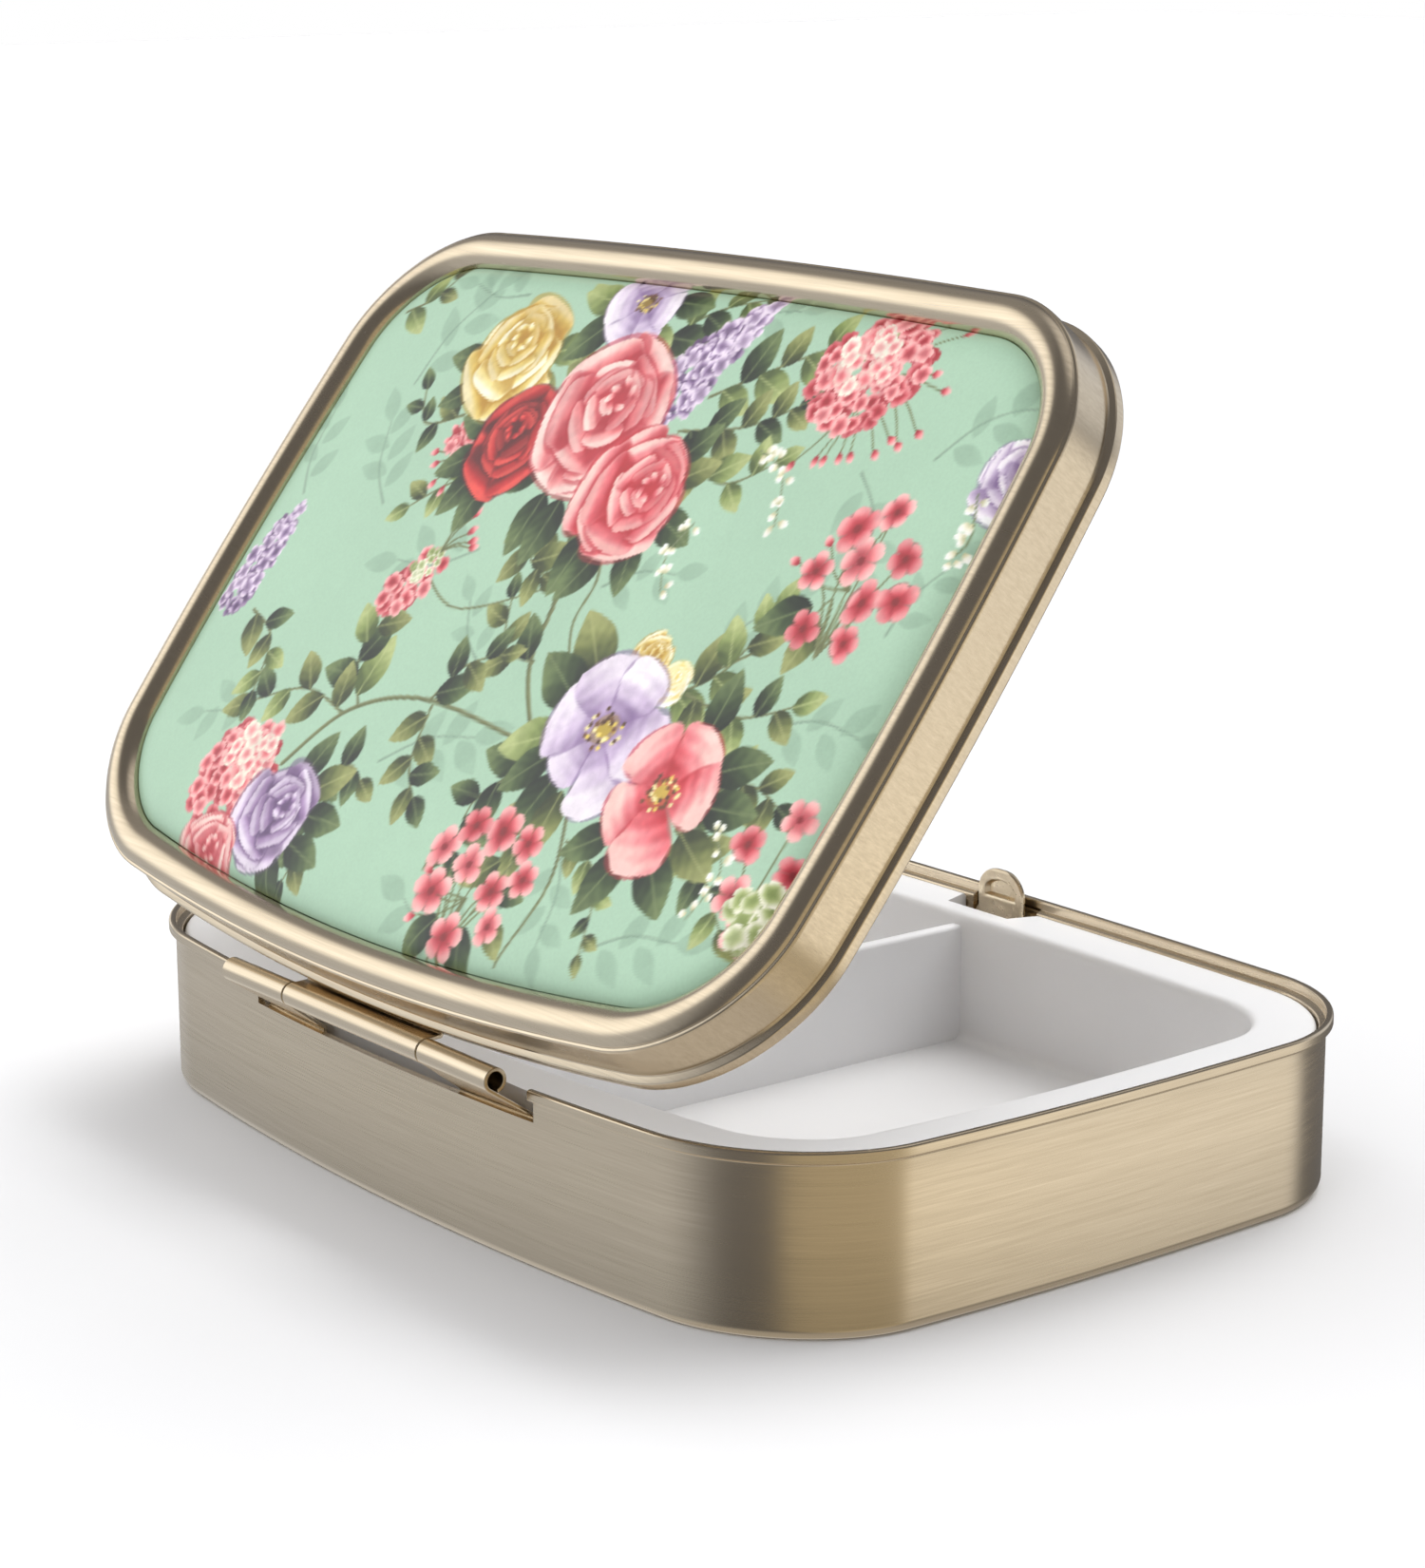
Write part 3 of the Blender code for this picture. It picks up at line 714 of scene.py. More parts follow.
    def phlox(self, a, b, width, height, count, size, tones):
        """Open florets set apart from each other, with leaves of the ground showing between them."""
        places = []
        for _ in range(count * 40):
            angle = self.dice.uniform(0.0, 2.0 * math.pi)
            reach = math.sqrt(self.dice.random())
            x = a + 0.5 * width * reach * math.cos(angle)
            y = b + 0.5 * height * reach * math.sin(angle)
            if len(places) < count and all(math.hypot(x - c, y - d) > size * 1.55 for c, d in places):
                places.append((x, y))
        for x, y in places:
            self.stem([(a, b - 0.6 * height), ((a + x) / 2, b - 0.2 * height), (x, y)], 0.16, 0.10)
        heart = mix(tones[0], (0.3, 0.02, 0.05), 0.4)
        for x, y in places:
            warm = self.dice.uniform(0.0, 0.35)
            other = self.dice.choice((tones[2], tones[0]))
            shade = tuple(mix(tone, other, warm) for tone in tones)
            self.floret(x, y, size * self.dice.uniform(0.85, 1.15), shade, 5, heart)

    def cluster(self, a, b, width, height, heading, florets, size, tones, petals=5, taper=0.0):
        """Florets crowded over an oval, darker ones first, lighter ones on top."""
        deep, _, light = tones
        for index in range(florets):
            angle = self.dice.uniform(0.0, 2.0 * math.pi)
            reach = math.sqrt(self.dice.random())
            along = reach * math.cos(angle)
            over = reach * math.sin(angle) * (1.0 - taper * (along * 0.5 + 0.5))
            x = a + 0.5 * height * along * math.cos(heading) - 0.5 * width * over * math.sin(heading)
            y = b + 0.5 * height * along * math.sin(heading) + 0.5 * width * over * math.cos(heading)
            shift = index / florets - 0.62 + self.dice.uniform(-0.16, 0.16)
            other = light if shift > 0 else deep
            shade = tuple(mix(tone, other, min(abs(shift) * 1.15, 0.9)) for tone in tones)
            self.floret(x, y, size * self.dice.uniform(0.85, 1.15), shade, petals)

    def buds(self, a, b, heading, reach, count, size, spread):
        """Thin stalks that fan out to small coral buds."""
        for index in range(count):
            angle = heading + spread * (index / (count - 1) - 0.5) * 2.0 + self.dice.uniform(-0.1, 0.1)
            length = reach * self.dice.uniform(0.65, 1.1)
            end = away(a, b, length, angle)
            self.stem([(a, b), away(a, b, 0.5 * length, angle + 0.2), end], 0.13, 0.09)
            self.blade(*end, angle, size * 1.6, size, CORAL, peak=0.5, blunt=0.7, rim=0.3)

    def bells(self, points, count, size):
        """Small cream bells along a thin stalk."""
        self.stem(points, 0.12, 0.08, mix(STEM, GROUND, 0.3))
        curve = smooth_path(points, 20)
        for index in range(count):
            here = curve[int((index + 0.5) / count * (len(curve) - 1))]
            for _ in range(2):
                angle = self.dice.uniform(0.0, 6.28)
                length = size * self.dice.uniform(0.8, 1.2)
                self.blade(*away(*here, 0.25, angle), angle, length, size * 0.75, CREAM, peak=0.55, blunt=0.6)

    def colour_at(self, a, b):
        """Blended colours at arrays of places."""
        x = np.clip((a + self.half[0]) * CELLS - 0.5, 0.0, self.shape[1] - 1.001)
        y = np.clip((b + self.half[1]) * CELLS - 0.5, 0.0, self.shape[0] - 1.001)
        column, row = x.astype(int), y.astype(int)
        return blend_cells(self.rgb, row, column, (y - row)[:, None], (x - column)[:, None])


def smooth_path(points, steps):
    """A Catmull-Rom curve through the points."""
    padded = [points[0], *points, points[-1]]
    curve = []
    for p0, p1, p2, p3 in zip(padded, padded[1:], padded[2:], padded[3:]):
        for step in range(steps):
            t = step / steps
            curve.append(tuple(
                0.5 * (2 * b + (c - a) * t + (2 * a - 5 * b + 4 * c - d) * t * t
                       + (3 * b - a - 3 * c + d) * t ** 3)
                for a, b, c, d in zip(p0, p1, p2, p3)))
    return curve + [points[-1]]


def paint_print(half_a, half_b):
    """A loose trailing pattern: a rose bouquet, an open-flower group, and clusters on leafy stems."""
    art = Painting(half_a, half_b)
    mixed = (OLIVE, FOREST, SAGE, OLIVE)
    dark = (FOREST, OLIVE, FOREST)
    pale = (SAGE, OLIVE)

    for ghost in (
            (-24, 12.5, 1.2, 8, 5), (-20, 4, 2.2, 7, 6), (-8, 2.5, 3.4, 7.5, 5), (21, 12, -0.9, 7, 5),
            (26, 13.5, 0.7, 6.5, 5), (16.5, -2, 0.9, 7.5, 6), (-6, -12, 0.4, 8, 6), (25, -3.5, 0.1, 6.5, 5),
            (-20, -9.5, 3.6, 6.5, 5), (10.5, -21, 2.9, 7.5, 5), (20, -18.5, 0.3, 7, 5),
            (2.5, 19, 0.4, 6.5, 5), (-29, 3.5, 1.9, 6.5, 5), (5, 2, 0.3, 6, 4), (-17.5, 20, 3.1, 6, 4),
            (-2, -4.5, 2.4, 5.5, 4), (29.5, 3, 1.2, 5, 4), (14, -13.5, -1.2, 6, 5)):
        art.ghost(*ghost)

    # Main stems
    for stem in (
            (((-1, 6), (1.5, 1), (2.8, -4), (7.5, -9)), 0.42, 0.30),
            (((1.5, 6.5), (4.2, 2.5), (4.5, -1), (8.5, -6)), 0.24, 0.16),
            (((-15, -14), (-11.5, -9.5), (-5, -7.5), (5, -8.2)), 0.34, 0.26),
            (((12, -10), (14.5, -15.5), (13.5, -21)), 0.28, 0.16),
            (((-12.5, 0.8), (-7, -1.5), (0.5, 1.2)), 0.16, 0.12),
            (((24, 3), (20, 0), (15, -3.5)), 0.22, 0.16)):
        art.stem(*stem)

    # Leafy sprays
    for spray in (
            (((2.8, -3.5), (-0.5, -3), (-2.5, 0.3)), 5, 3.3, dark),
            (((-11, -9), (-13.5, -6), (-13, -2.5)), 6, 4.4, mixed),
            (((-12, -9.8), (-17, -9), (-22, -11)), 6, 4, mixed),
            (((-4.5, -7.5), (-3, -4.8), (0, -3.5)), 5, 3.4, dark),
            (((-4, -7.8), (-3, -11.5), (-0.8, -13.6)), 6, 3.6, mixed),
            (((-27, -5), (-23.5, -6.5), (-22, -10.5)), 6, 3.4, mixed),
            (((15.5, -3.5), (19, -1), (20.5, 3.2)), 7, 4, (SAGE, OLIVE, SAGE)),
            (((17, -3), (22, -3.5), (26, -2)), 6, 3.4, mixed),
            (((21.5, -9), (25.5, -7), (28.8, -7.8)), 6, 3.6, mixed),
            (((22, -10.5), (26, -12.5), (29.5, -15.2)), 6, 3.2, mixed),
            (((14, -13), (18, -14.5), (20, -19.2)), 9, 2.4, mixed, 0.16),
            (((8, -9), (4.5, -12.5), (5.5, -16)), 6, 4, dark),
            (((11.5, -12), (9.5, -15), (12, -19)), 5, 3.8, mixed),
            (((5, 15), (10, 17.8), (16.5, 21)), 8, 4.2, (SAGE, OLIVE, FOREST)),
            (((4, 12.5), (9.5, 13.5), (13.5, 15.6)), 8, 3.4, dark),
            (((6, 10.8), (10.5, 9.8), (14, 11.8)), 5, 3.4, pale),
            (((-3.5, 6.5), (-3, 3), (-0.5, 1.8)), 6, 4.2, mixed),
            (((-9.5, 7.5), (-14, 6.5), (-17.5, 4)), 6, 3, pale),
            (((-9, 18), (-9, 20.5), (-6, 22.5)), 5, 4, (FOREST, SAGE)),
            (((-2, 18), (1, 20.5), (5, 22.2)), 6, 4.2, mixed),
            (((-17, 11), (-20.5, 10), (-22.5, 12.5)), 5, 2.8, dark),
            (((-29.5, 17.5), (-27, 19), (-25.5, 22)), 5, 3, pale)):
        art.spray(*spray)

    # Lilacs and small clusters behind the main flowers
    art.cluster(3.2, 17.3, 6, 10.5, 1, 120, 0.72, LILAC, petals=4, taper=0.75)
    art.cluster(-29.4, -1.6, 4, 9, 1.35, 70, 0.66, LILAC, petals=4, taper=0.7)
    art.buds(18.5, 17.5, 0.3, 5.6, 7, 0.55, 1.1)
    art.buds(17, 16.5, -1.2, 5.2, 7, 0.55, 0.7)
    art.cluster(17.2, 18.2, 7.6, 8.6, 0.2, 95, 0.74, CORAL)
    art.cluster(16.4, 18.8, 4, 4.6, 0.4, 26, 0.70, PALE_CORAL)
    art.buds(-14.5, 9, 3.6, 3.2, 6, 0.55, 0.9)
    art.cluster(-14.6, 9.4, 3.6, 4.4, 3.4, 26, 0.66, CORAL)
    art.cluster(-12.6, -0.4, 3, 5.8, 0.9, 26, 0.78, CORAL)
    art.cluster(-12.2, 0.7, 1.8, 2.6, 0.9, 20, 0.42, PALE_SAGE)
    art.buds(-11.5, 1.8, 0.8, 3, 5, 0.6, 0.6)

    # Rose bouquet
    for foliage in (
            (-3, 11, 6, (-2.9, -2.5, -2, -1.6, -1.1, 1.9, 2.4), 4.6, dark),
            (3.2, 8, 5, (-2.1, -1.6, -0.9, -0.3, 0.4, 0.9), 4.2, dark),
            (-10.6, 9.9, 4, (2.9, 3.6, 4.1, 4.6), 3.8, dark),
            (-15.2, 15.8, 4.6, (-0.4, 0.1, 3.4, 4), 3.8, mixed),
            (-5.6, 20.6, 3.4, (3.3, 3.8, -0.6, -1, 0.2), 4, (SAGE, OLIVE, FOREST))):
        art.foliage(*foliage)
    art.rose(-15.2, 15.8, 4.6, YELLOW, 2)
    art.rose(-10.6, 9.9, 4, RED, 2.2)
    art.blossom(-5.6, 20.6, 3.6, PEARL, (0.62, 0.50, 0.20), 6)
    art.rose(-3.6, 12.6, 5.7, PINK, 1.3)
    art.rose(3.2, 8, 4.9, ROSE, 0.6)

    # Open flowers
    art.foliage(12, -6.2, 5.4, (-2.9, -2.5, -2.1, -1.7, 2.4, 2.9), 5, mixed)
    art.foliage(19.3, -8.8, 5, (-2.2, -1.6, -1.1, -0.5, 0, 0.5, 1.3), 4.4, dark)
    art.rose(12.6, -1.6, 2, YELLOW, 1.5)
    art.rose(15.4, -2.6, 1.6, (YELLOW[1], YELLOW[2], CREAM[2]), 1.5)
    art.blossom(12, -6.2, 5.4, PEARL, (0.78, 0.66, 0.20), 6)
    art.blossom(19.3, -8.8, 5, ROSE, (0.82, 0.70, 0.26), 5)

    # Outer clusters
    art.buds(25, 5, 2.2, 4.6, 5, 0.6, 0.7)
    art.leaf(23, 3.6, -2.7, 4.2, FOREST)
    art.leaf(24, 3, -1.7, 3.6, OLIVE)
    art.phlox(25.2, 6, 8.6, 8.6, 13, 1.55, CORAL)
    art.buds(8.5, -18, -2.6, 4.4, 5, 0.6, 0.8)
    art.leaf(9.5, -19.5, -1.3, 4, FOREST)
    art.leaf(7, -19.5, -2.2, 3.6, FOREST)
    art.phlox(8.3, -16.4, 8.4, 9.4, 14, 1.5, CORAL)
    art.phlox(30, -10.6, 5, 8.4, 8, 1.4, CORAL)
    art.cluster(31, -13.5, 3.2, 4, 1, 18, 0.8, PALE_SAGE)
    art.cluster(-18.8, -16.4, 7.4, 9.4, 1.9, 110, 0.74, CORAL)
    art.cluster(-18.4, -14, 4.6, 4.4, 1.7, 30, 0.70, PALE_CORAL)
    art.spray([(-10.5, -15.5), (-8.5, -18), (-8.8, -21)], 5, 3.4, dark)
    art.spray([(-11, -14.5), (-8.5, -12.8), (-6.5, -13.5)], 4, 3.2, dark)
    art.foliage(-13, -17.2, 4, (-0.9, -0.4, 0.2, 0.7, 1.3), 3.6, dark)
    art.rose(-13, -17.2, 4, MAUVE, 0.9)
    art.rose(-18, -21.4, 3.8, PINK, 1.2)
    art.rose(32.5, 13.5, 3, PEARL, 1.2)
    for bells in (
            (((12, 12.2), (14.8, 11), (16.5, 7.8)), 8, 0.75),
            (((9.8, 7), (9, 4.8), (10.2, 2.5)), 7, 0.65),
            (((25, -10), (27, -12), (26.4, -15)), 7, 0.65),
            (((30.5, 12), (31.5, 9.5), (31, 8)), 5, 0.7)):
        art.bells(*bells)
    return art


# ---------------------------------------------------------------- pan, insert and lid

def column_at(x, side_y):
    flat = outline(0.0)
    distance = np.abs(flat[:, 0] - x) + np.where(flat[:, 1] * side_y > 15.0, 0.0, 1e3)
    return int(distance.argmin())


def build_pan():
    """The pan, notched for the hinge. The button's window is cut in the wall's inner skin only."""
    out = -RIM_OVERHANG
    lip = out + SHEET
    step_low, step_high, rim_low = 9.97, 10.14, 10.20
    profile = filleted([(1.6, 0.0, 0.0), (0.30, 0.0, 0.5), (0.0, 0.55, 0.6), (0.0, WINDOW_BOTTOM, 0.0)])
    profile.append((0.0, NOTCH_BOTTOM))
    notch_low = len(profile) - 1
    outer_step = [(0.0, 8.8, 0.0), (0.0, step_low, 0.22), (out, step_high, 0.16), (out, rim_low, 0.0)]
    profile += filleted(outer_step, 6)[1:]
    window_outer = len(profile) - 1
    rim = [(out, rim_low, 0.0), (out, PAN_TOP, 0.20), (lip, PAN_TOP, 0.20), (lip, rim_low, 0.0)]
    profile += filleted(rim, 8)[1:]
    window_high = len(profile) - 1
    inner_step = [(lip, rim_low, 0.0), (lip, step_high, 0.16), (SHEET, step_low, 0.22),
                  (SHEET, NOTCH_BOTTOM, 0.0)]
    profile += filleted(inner_step, 6)[1:]
    notch_high = len(profile) - 1
    profile.append((SHEET, WINDOW_BOTTOM))
    window_low = len(profile) - 1
    profile += filleted([(SHEET, 4.3, 0.0), (SHEET, 0.45, 0.5), (1.6, 0.45, 0.0)])
    notch = (column_at(NOTCH_HALF_LENGTH, 1), column_at(-NOTCH_HALF_LENGTH, 1))
    window = (column_at(-WINDOW_HALF_WIDTH, -1), column_at(WINDOW_HALF_WIDTH, -1))
    points, faces = ring_shape(profile, [(notch_low, notch_high, *notch), (window_high, window_low, *window)])
    columns = len(points) // len(profile)

    def at(ring, column):
        return ring * columns + column

    for low, high, span in ((notch_low, notch_high, notch), (window_outer, window_high, window)):
        faces += [(at(low, c), at(low, c + 1), at(high, c + 1), at(high, c)) for c in range(*span)]
    for low, high, span in ((notch_low, notch_high, notch), (window_high, window_low, window)):
        faces += [tuple(at(ring, column) for ring in range(low, high + 1)) for column in span]
    make_piece("pan", points, faces, "base", "base_shell", PAN_METAL, "base_shell")


def build_insert():
    outer = SHEET + 0.1
    inner = 4.3
    profile = filleted([
        (1.9, 0.55, 0.0), (0.75, 0.55, 0.5), (outer, 1.0, 0.5), (outer, 10.0, 0.42), (inner, 10.0, 0.62),
        (inner + 0.15, 1.5, 0.7), (inner + 1.9, 1.5, 0.0),
    ], 8)
    piece = make_piece("insert", *ring_shape(profile), "base", "tray_insert", WHITE, "tray_insert")
    middle, half, top, corner = 0.4, 0.5, 9.2, 0.28
    section = [(middle - half - 0.06, 1.2), (middle + half + 0.06, 1.2)]
    for side, start in ((1.0, 0.0), (-1.0, 90.0)):
        for step in range(7):
            angle = math.radians(start + 15.0 * step)
            section.append((middle + side * half - side * corner + corner * math.cos(angle),
                            top - corner + corner * math.sin(angle)))
    notch = [(-4.05, -25.0), (4.05, -25.0), (2.9, -21.8), (-2.9, -21.8)]
    merge_shapes(piece, [
        (*prism_points(section, 1, -21.6, 21.6), "UNION"),
        (*prism_points(rectangle(-14.9, 23.35, 14.9, 26.0), 2, 4.6, 12.0), "DIFFERENCE"),
        (*prism_points(rectangle(-3.75, -26.0, 3.75, -22.95), 2, 1.2, 8.3), "DIFFERENCE"),
        (*prism_points(notch, 2, 7.6, 12.0), "DIFFERENCE"),
    ])


def rectangle(low_x, low_y, high_x, high_y):
    return [(low_x, low_y), (high_x, low_y), (high_x, high_y), (low_x, high_y)]


def build_lid():
    out = -RIM_OVERHANG
    lip = out + SHEET
    profile = [(PICTURE_INSET + 0.25, LID_PLATE_TOP), (PICTURE_INSET + 0.02, LID_PLATE_TOP),
               (PICTURE_INSET, 14.60)]
    for step in range(15):
        profile.append(away(1.25, 14.30, 1.32, math.radians(25.0 + (141.0 - 25.0) * step / 14)))
    profile += filleted([
        (0.225, 15.13, 0.0), (0.20, 15.03, 0.05), (0.02, 14.99, 0.10), (0.0, 14.80, 0.12), (0.0, 12.22, 0.12),
        (-0.05, 12.12, 0.0), (out, 11.98, 0.12), (out, LID_BOTTOM, 0.16), (lip, LID_BOTTOM, 0.14),
        (lip, 12.06, 0.1), (SHEET, 12.32, 0.1), (SHEET, 14.80, 0.5), (1.25, 15.15, 0.0), (2.0, 14.75, 0.3),
        (2.07, 13.55, 0.15), (3.4, 13.55, 0.0),
    ], 5)[1:]
    make_piece("lid_skin", *ring_shape(profile), "lid", "lid_shell", LID_METAL, "lid_shell", LID_OPEN)


# ---------------------------------------------------------------- hinge

def offset_path(path, distance):
    """The path moved sideways to its left by the distance, with mitred corners."""
    moved = []
    for index, point in enumerate(path):
        normals = []
        for start, end in ((path[max(index - 1, 0)], point), (point, path[min(index + 1, len(path) - 1)])):
            run = Vector((end[0] - start[0], end[1] - start[1]))
            if run.length > 1e-6:
                run.normalize()
                normals.append(Vector((-run.y, run.x)))
        mean = (normals[0] + normals[-1]).normalized()
        reach = distance / mean.dot(normals[0])
        moved.append((point[0] + mean.x * reach, point[1] + mean.y * reach))
    return moved


def rolled_profile(tangent_angle, turn, tail):
    """A strip that runs along its tail, then rolls round the hinge axis, as (y, z, follow) points."""
    steps = 56
    outer_path = [away(HINGE.y, HINGE.z, BARREL_RADIUS, math.radians(tangent_angle))] + tail
    inner_path = offset_path(outer_path, -turn * (BARREL_RADIUS - BORE_RADIUS))
    angles = [math.radians(tangent_angle + turn * ROLL_SWEEP * step / steps) for step in range(steps + 1)]
    outside = [(*away(HINGE.y, HINGE.z, BARREL_RADIUS, angle), 0.0) for angle in angles]
    inside = [(*away(HINGE.y, HINGE.z, BORE_RADIUS, angle), 0.0) for angle in reversed(angles)]
    tails = [[(y, z, 1.0) for y, z in path] for path in (reversed(outer_path[1:]), inner_path[1:])]
    return tails[0] + outside + inside + tails[1]


def leaf_shape(profile, low_x, high_x):
    """A rolled strip between two places along the hinge."""
    points = []
    stations = 12
    for station in range(stations + 1):
        x = low_x + (high_x - low_x) * station / stations
        drop = REAR_BOW * (x / HALF_LENGTH) ** 2
        points += [(x, y - follow * drop, z) for y, z, follow in profile]
    return points, tube_faces(stations + 1, len(profile))


def soften(piece, width):
    step = piece.modifiers.new("soft_edge", "BEVEL")
    step.width = width * MM
    step.segments = 2
    step.limit_method = "ANGLE"
    step.angle_limit = math.radians(40.0)


def build_hinge():
    wall = HALF_WIDTH - SHEET - 0.05
    half_hinge = node_box("base_hinge_leaf")[1].x
    gap = CENTRE_KNUCKLE_HALF + KNUCKLE_GAP
    base_roll = rolled_profile(-50.0, 1, [(wall, 8.84), (wall, 5.0)])
    base_leaf = make_piece("hinge_base_leaf", *leaf_shape(base_roll, -half_hinge, half_hinge),
                           "base", "base_hinge_leaf", HINGE_METAL, "base_hinge_leaf")
    merge_shapes(base_leaf, [(*prism_points(rectangle(-gap, 22.0, gap, 28.0), 2, 7.4, 14.0), "DIFFERENCE")])
    soften(base_leaf, 0.05)
    under_lip = LID_BOTTOM - 0.10
    lid_roll = rolled_profile(147.2, -1, [(25.14, under_lip), (wall, under_lip), (wall, 13.2)])
    lid_leaf = make_piece("hinge_lid_leaf", *leaf_shape(lid_roll, -CENTRE_KNUCKLE_HALF, CENTRE_KNUCKLE_HALF),
                          "lid", "lid_hinge_leaf", HINGE_METAL, "lid_hinge_leaf", LID_OPEN)
    soften(lid_leaf, 0.05)
    build_pin()


def build_pin():
    """The rod stops short of the barrel's ends, so each end shows a dark bore."""
    half_length = node_box("hinge_pin")[1].x - 2.4
    radius, chamfer = 0.48, 0.08
    around = 40
    points = []
    for x, reach in ((-half_length, radius - chamfer), (-half_length + chamfer, radius),
                     (half_length - chamfer, radius), (half_length, radius - chamfer)):
        for step in range(around):
            points.append((x, *away(HINGE.y, HINGE.z, reach, 2.0 * math.pi * step / around)))
    make_piece("hinge_rod", points, tube_faces(4, around), "base", "hinge_pin", PIN_METAL, "hinge_pin")


# ---------------------------------------------------------------- latch

def sheet_quads(index):
    """Quads over a grid of point numbers."""
    return np.stack([index[:-1, :-1], index[:-1, 1:], index[1:, 1:], index[1:, :-1]], axis=2).reshape(-1, 4)


def rim_of(index):
    """The numbers round the edge of a grid of point numbers."""
    return np.concatenate([index[0], index[1:, -1], index[-1, -2::-1], index[-2:0:-1, 0]])


def dee_depth(x, z, half_width, low, high):
    """How far a place lies inside a flat-bottomed arch, in millimetres; below zero outside it."""
    shoulder = low + 0.35 * (high - low)
    rise = np.maximum(z - shoulder, 0.0) / (high - shoulder)
    arch = (1.0 - np.sqrt((x / half_width) ** 2 + rise ** 2)) * half_width
    return np.minimum(arch, z - low)


def build_latch():
    """The latch strip up to its round-topped tongue, with a dee-shaped dish pressed into its upper end."""
    low, high = LATCH_BOX
    outer_y = BUTTON_BOX[1].y + 0.04
    top_z = high.z
    heights = np.concatenate([
        np.linspace(low.z, 7.9, 8), np.linspace(8.0, 9.2, 7), np.linspace(9.35, 10.2, 6),
        np.linspace(10.25, top_z - 0.35, 34), top_z - 0.35 * (1 - np.linspace(0.06, 1.0, 16)) ** 2])
    shares = np.sin(np.linspace(-math.pi / 2, math.pi / 2, 57))
    arch_x, arch_z = 1.9, 1.65
    shoulders = [high.x, high.x - 0.2, TONGUE_HALF_WIDTH + 0.2, TONGUE_HALF_WIDTH]
    widths = np.interp(heights, [7.9, 8.2, 8.8, 9.1], shoulders)
    rise = np.clip((heights - (top_z - arch_z)) / arch_z, 0.0, 0.9995)
    widths = widths - np.where(rise > 0.0, arch_x * (1.0 - np.sqrt(1.0 - rise ** 2)), 0.0)
    x = widths[:, None] * shares[None, :]
    z = np.broadcast_to(heights[:, None], x.shape)
    edge = np.minimum(widths[:, None] * (1.0 - np.abs(shares[None, :])), np.maximum(top_z - z, 0.0))
    rounding = 0.13 * (1.0 - ease(edge, -0.05, 0.26)) ** 2
    depth = dee_depth(x, z, 1.5, 10.42, 11.66)
    dish = 0.34 * ease(depth, 0.0, 0.22)
    ridge = 0.06 * np.exp(-((depth + 0.16) / 0.14) ** 2)
    inner = np.stack([x, high.y - rounding - dish + ridge * 0.6 - 0.036, z], axis=2)
    outer = np.stack([x, outer_y + rounding - dish, z], axis=2)
    points = np.concatenate([inner.reshape(-1, 3), outer.reshape(-1, 3)])
    index = np.arange(x.size).reshape(x.shape)
    quads, rim = sheet_quads(index), rim_of(index)
    sides = np.stack([rim, np.roll(rim, -1), np.roll(rim, -1) + x.size, rim + x.size], axis=1)
    faces = np.concatenate([quads, quads + x.size, sides]).tolist()
    make_piece("latch_tongue", points, faces, "latch", "latch_spring", LATCH_METAL, "latch_spring")


def rounded_box(half_width, low, high, radius):
    """Points of an upright rounded rectangle, as (x, z) pairs."""
    points = []
    steps = 10
    middle = (low + high) / 2.0
    half_height = (high - low) / 2.0
    for quarter, (side_x, side_z) in enumerate(QUARTERS):
        centre = (side_x * (half_width - radius), middle + side_z * (half_height - radius))
        for step in range(steps + 1):
            points.append(away(*centre, radius, math.radians(90.0 * (quarter + step / steps))))
    return points


def build_button():
    """A hollow pressed cap with a slightly dished face."""
    low, high = BUTTON_BOX
    half = high.x
    levels = [(half - 0.5, low.y + 0.5, 0.5), (half - 0.5, high.y, 0.5), (half, high.y, 0.9)]
    for step in range(6):
        angle = math.radians(90.0 * step / 5)
        levels.append((half - 0.28 * (1.0 - math.cos(angle)), low.y + 0.28 * (1.0 - math.sin(angle)), 0.88))
    for inset, dip, radius in ((0.6, 0.01, 0.7), (0.9, 0.05, 0.6), (1.5, 0.07, 0.5)):
        levels.append((half - inset, low.y + dip, radius))
    points = []
    for half_width, y, radius in levels:
        inset = half - half_width
        loop = rounded_box(half_width, low.z + inset, high.z - inset, min(radius, half_width * 0.5))
        points += [(x, y, z) for x, z in loop]
    count = len(points) // len(levels)
    make_piece("release_button", points, tube_faces(len(levels), count), "latch", "push_button", LATCH_METAL,
               "push_button")


# ---------------------------------------------------------------- print under its dome

def edge_spacing(half):
    """Places from -half to half: close together at the ends, then a cell apart."""
    inner = half - 0.5
    middle = np.linspace(-inner, inner, int(2.0 * inner / PRINT_CELL) + 1)
    ends = half - np.array((0.0, 0.02, 0.05, 0.09, 0.14, 0.20, 0.28, 0.38))
    return np.concatenate([-ends, middle, ends[::-1]])


def linear(colour):
    """Display colours as linear ones."""
    colour = np.clip(colour, 0.0, 1.0)
    return np.where(colour <= 0.04045, colour / 12.92, ((colour + 0.055) / 1.055) ** 2.4)


def dome_depth(x, y, half_x, half_y, radius):
    """How far places lie inside a rounded rectangle's edge."""
    away_x = np.abs(x) - (half_x - radius)
    away_y = np.abs(y) - (half_y - radius)
    corner = np.hypot(np.maximum(away_x, 0.0), np.maximum(away_y, 0.0))
    return np.maximum(radius - (corner + np.minimum(np.maximum(away_x, away_y), 0.0)), 0.0)


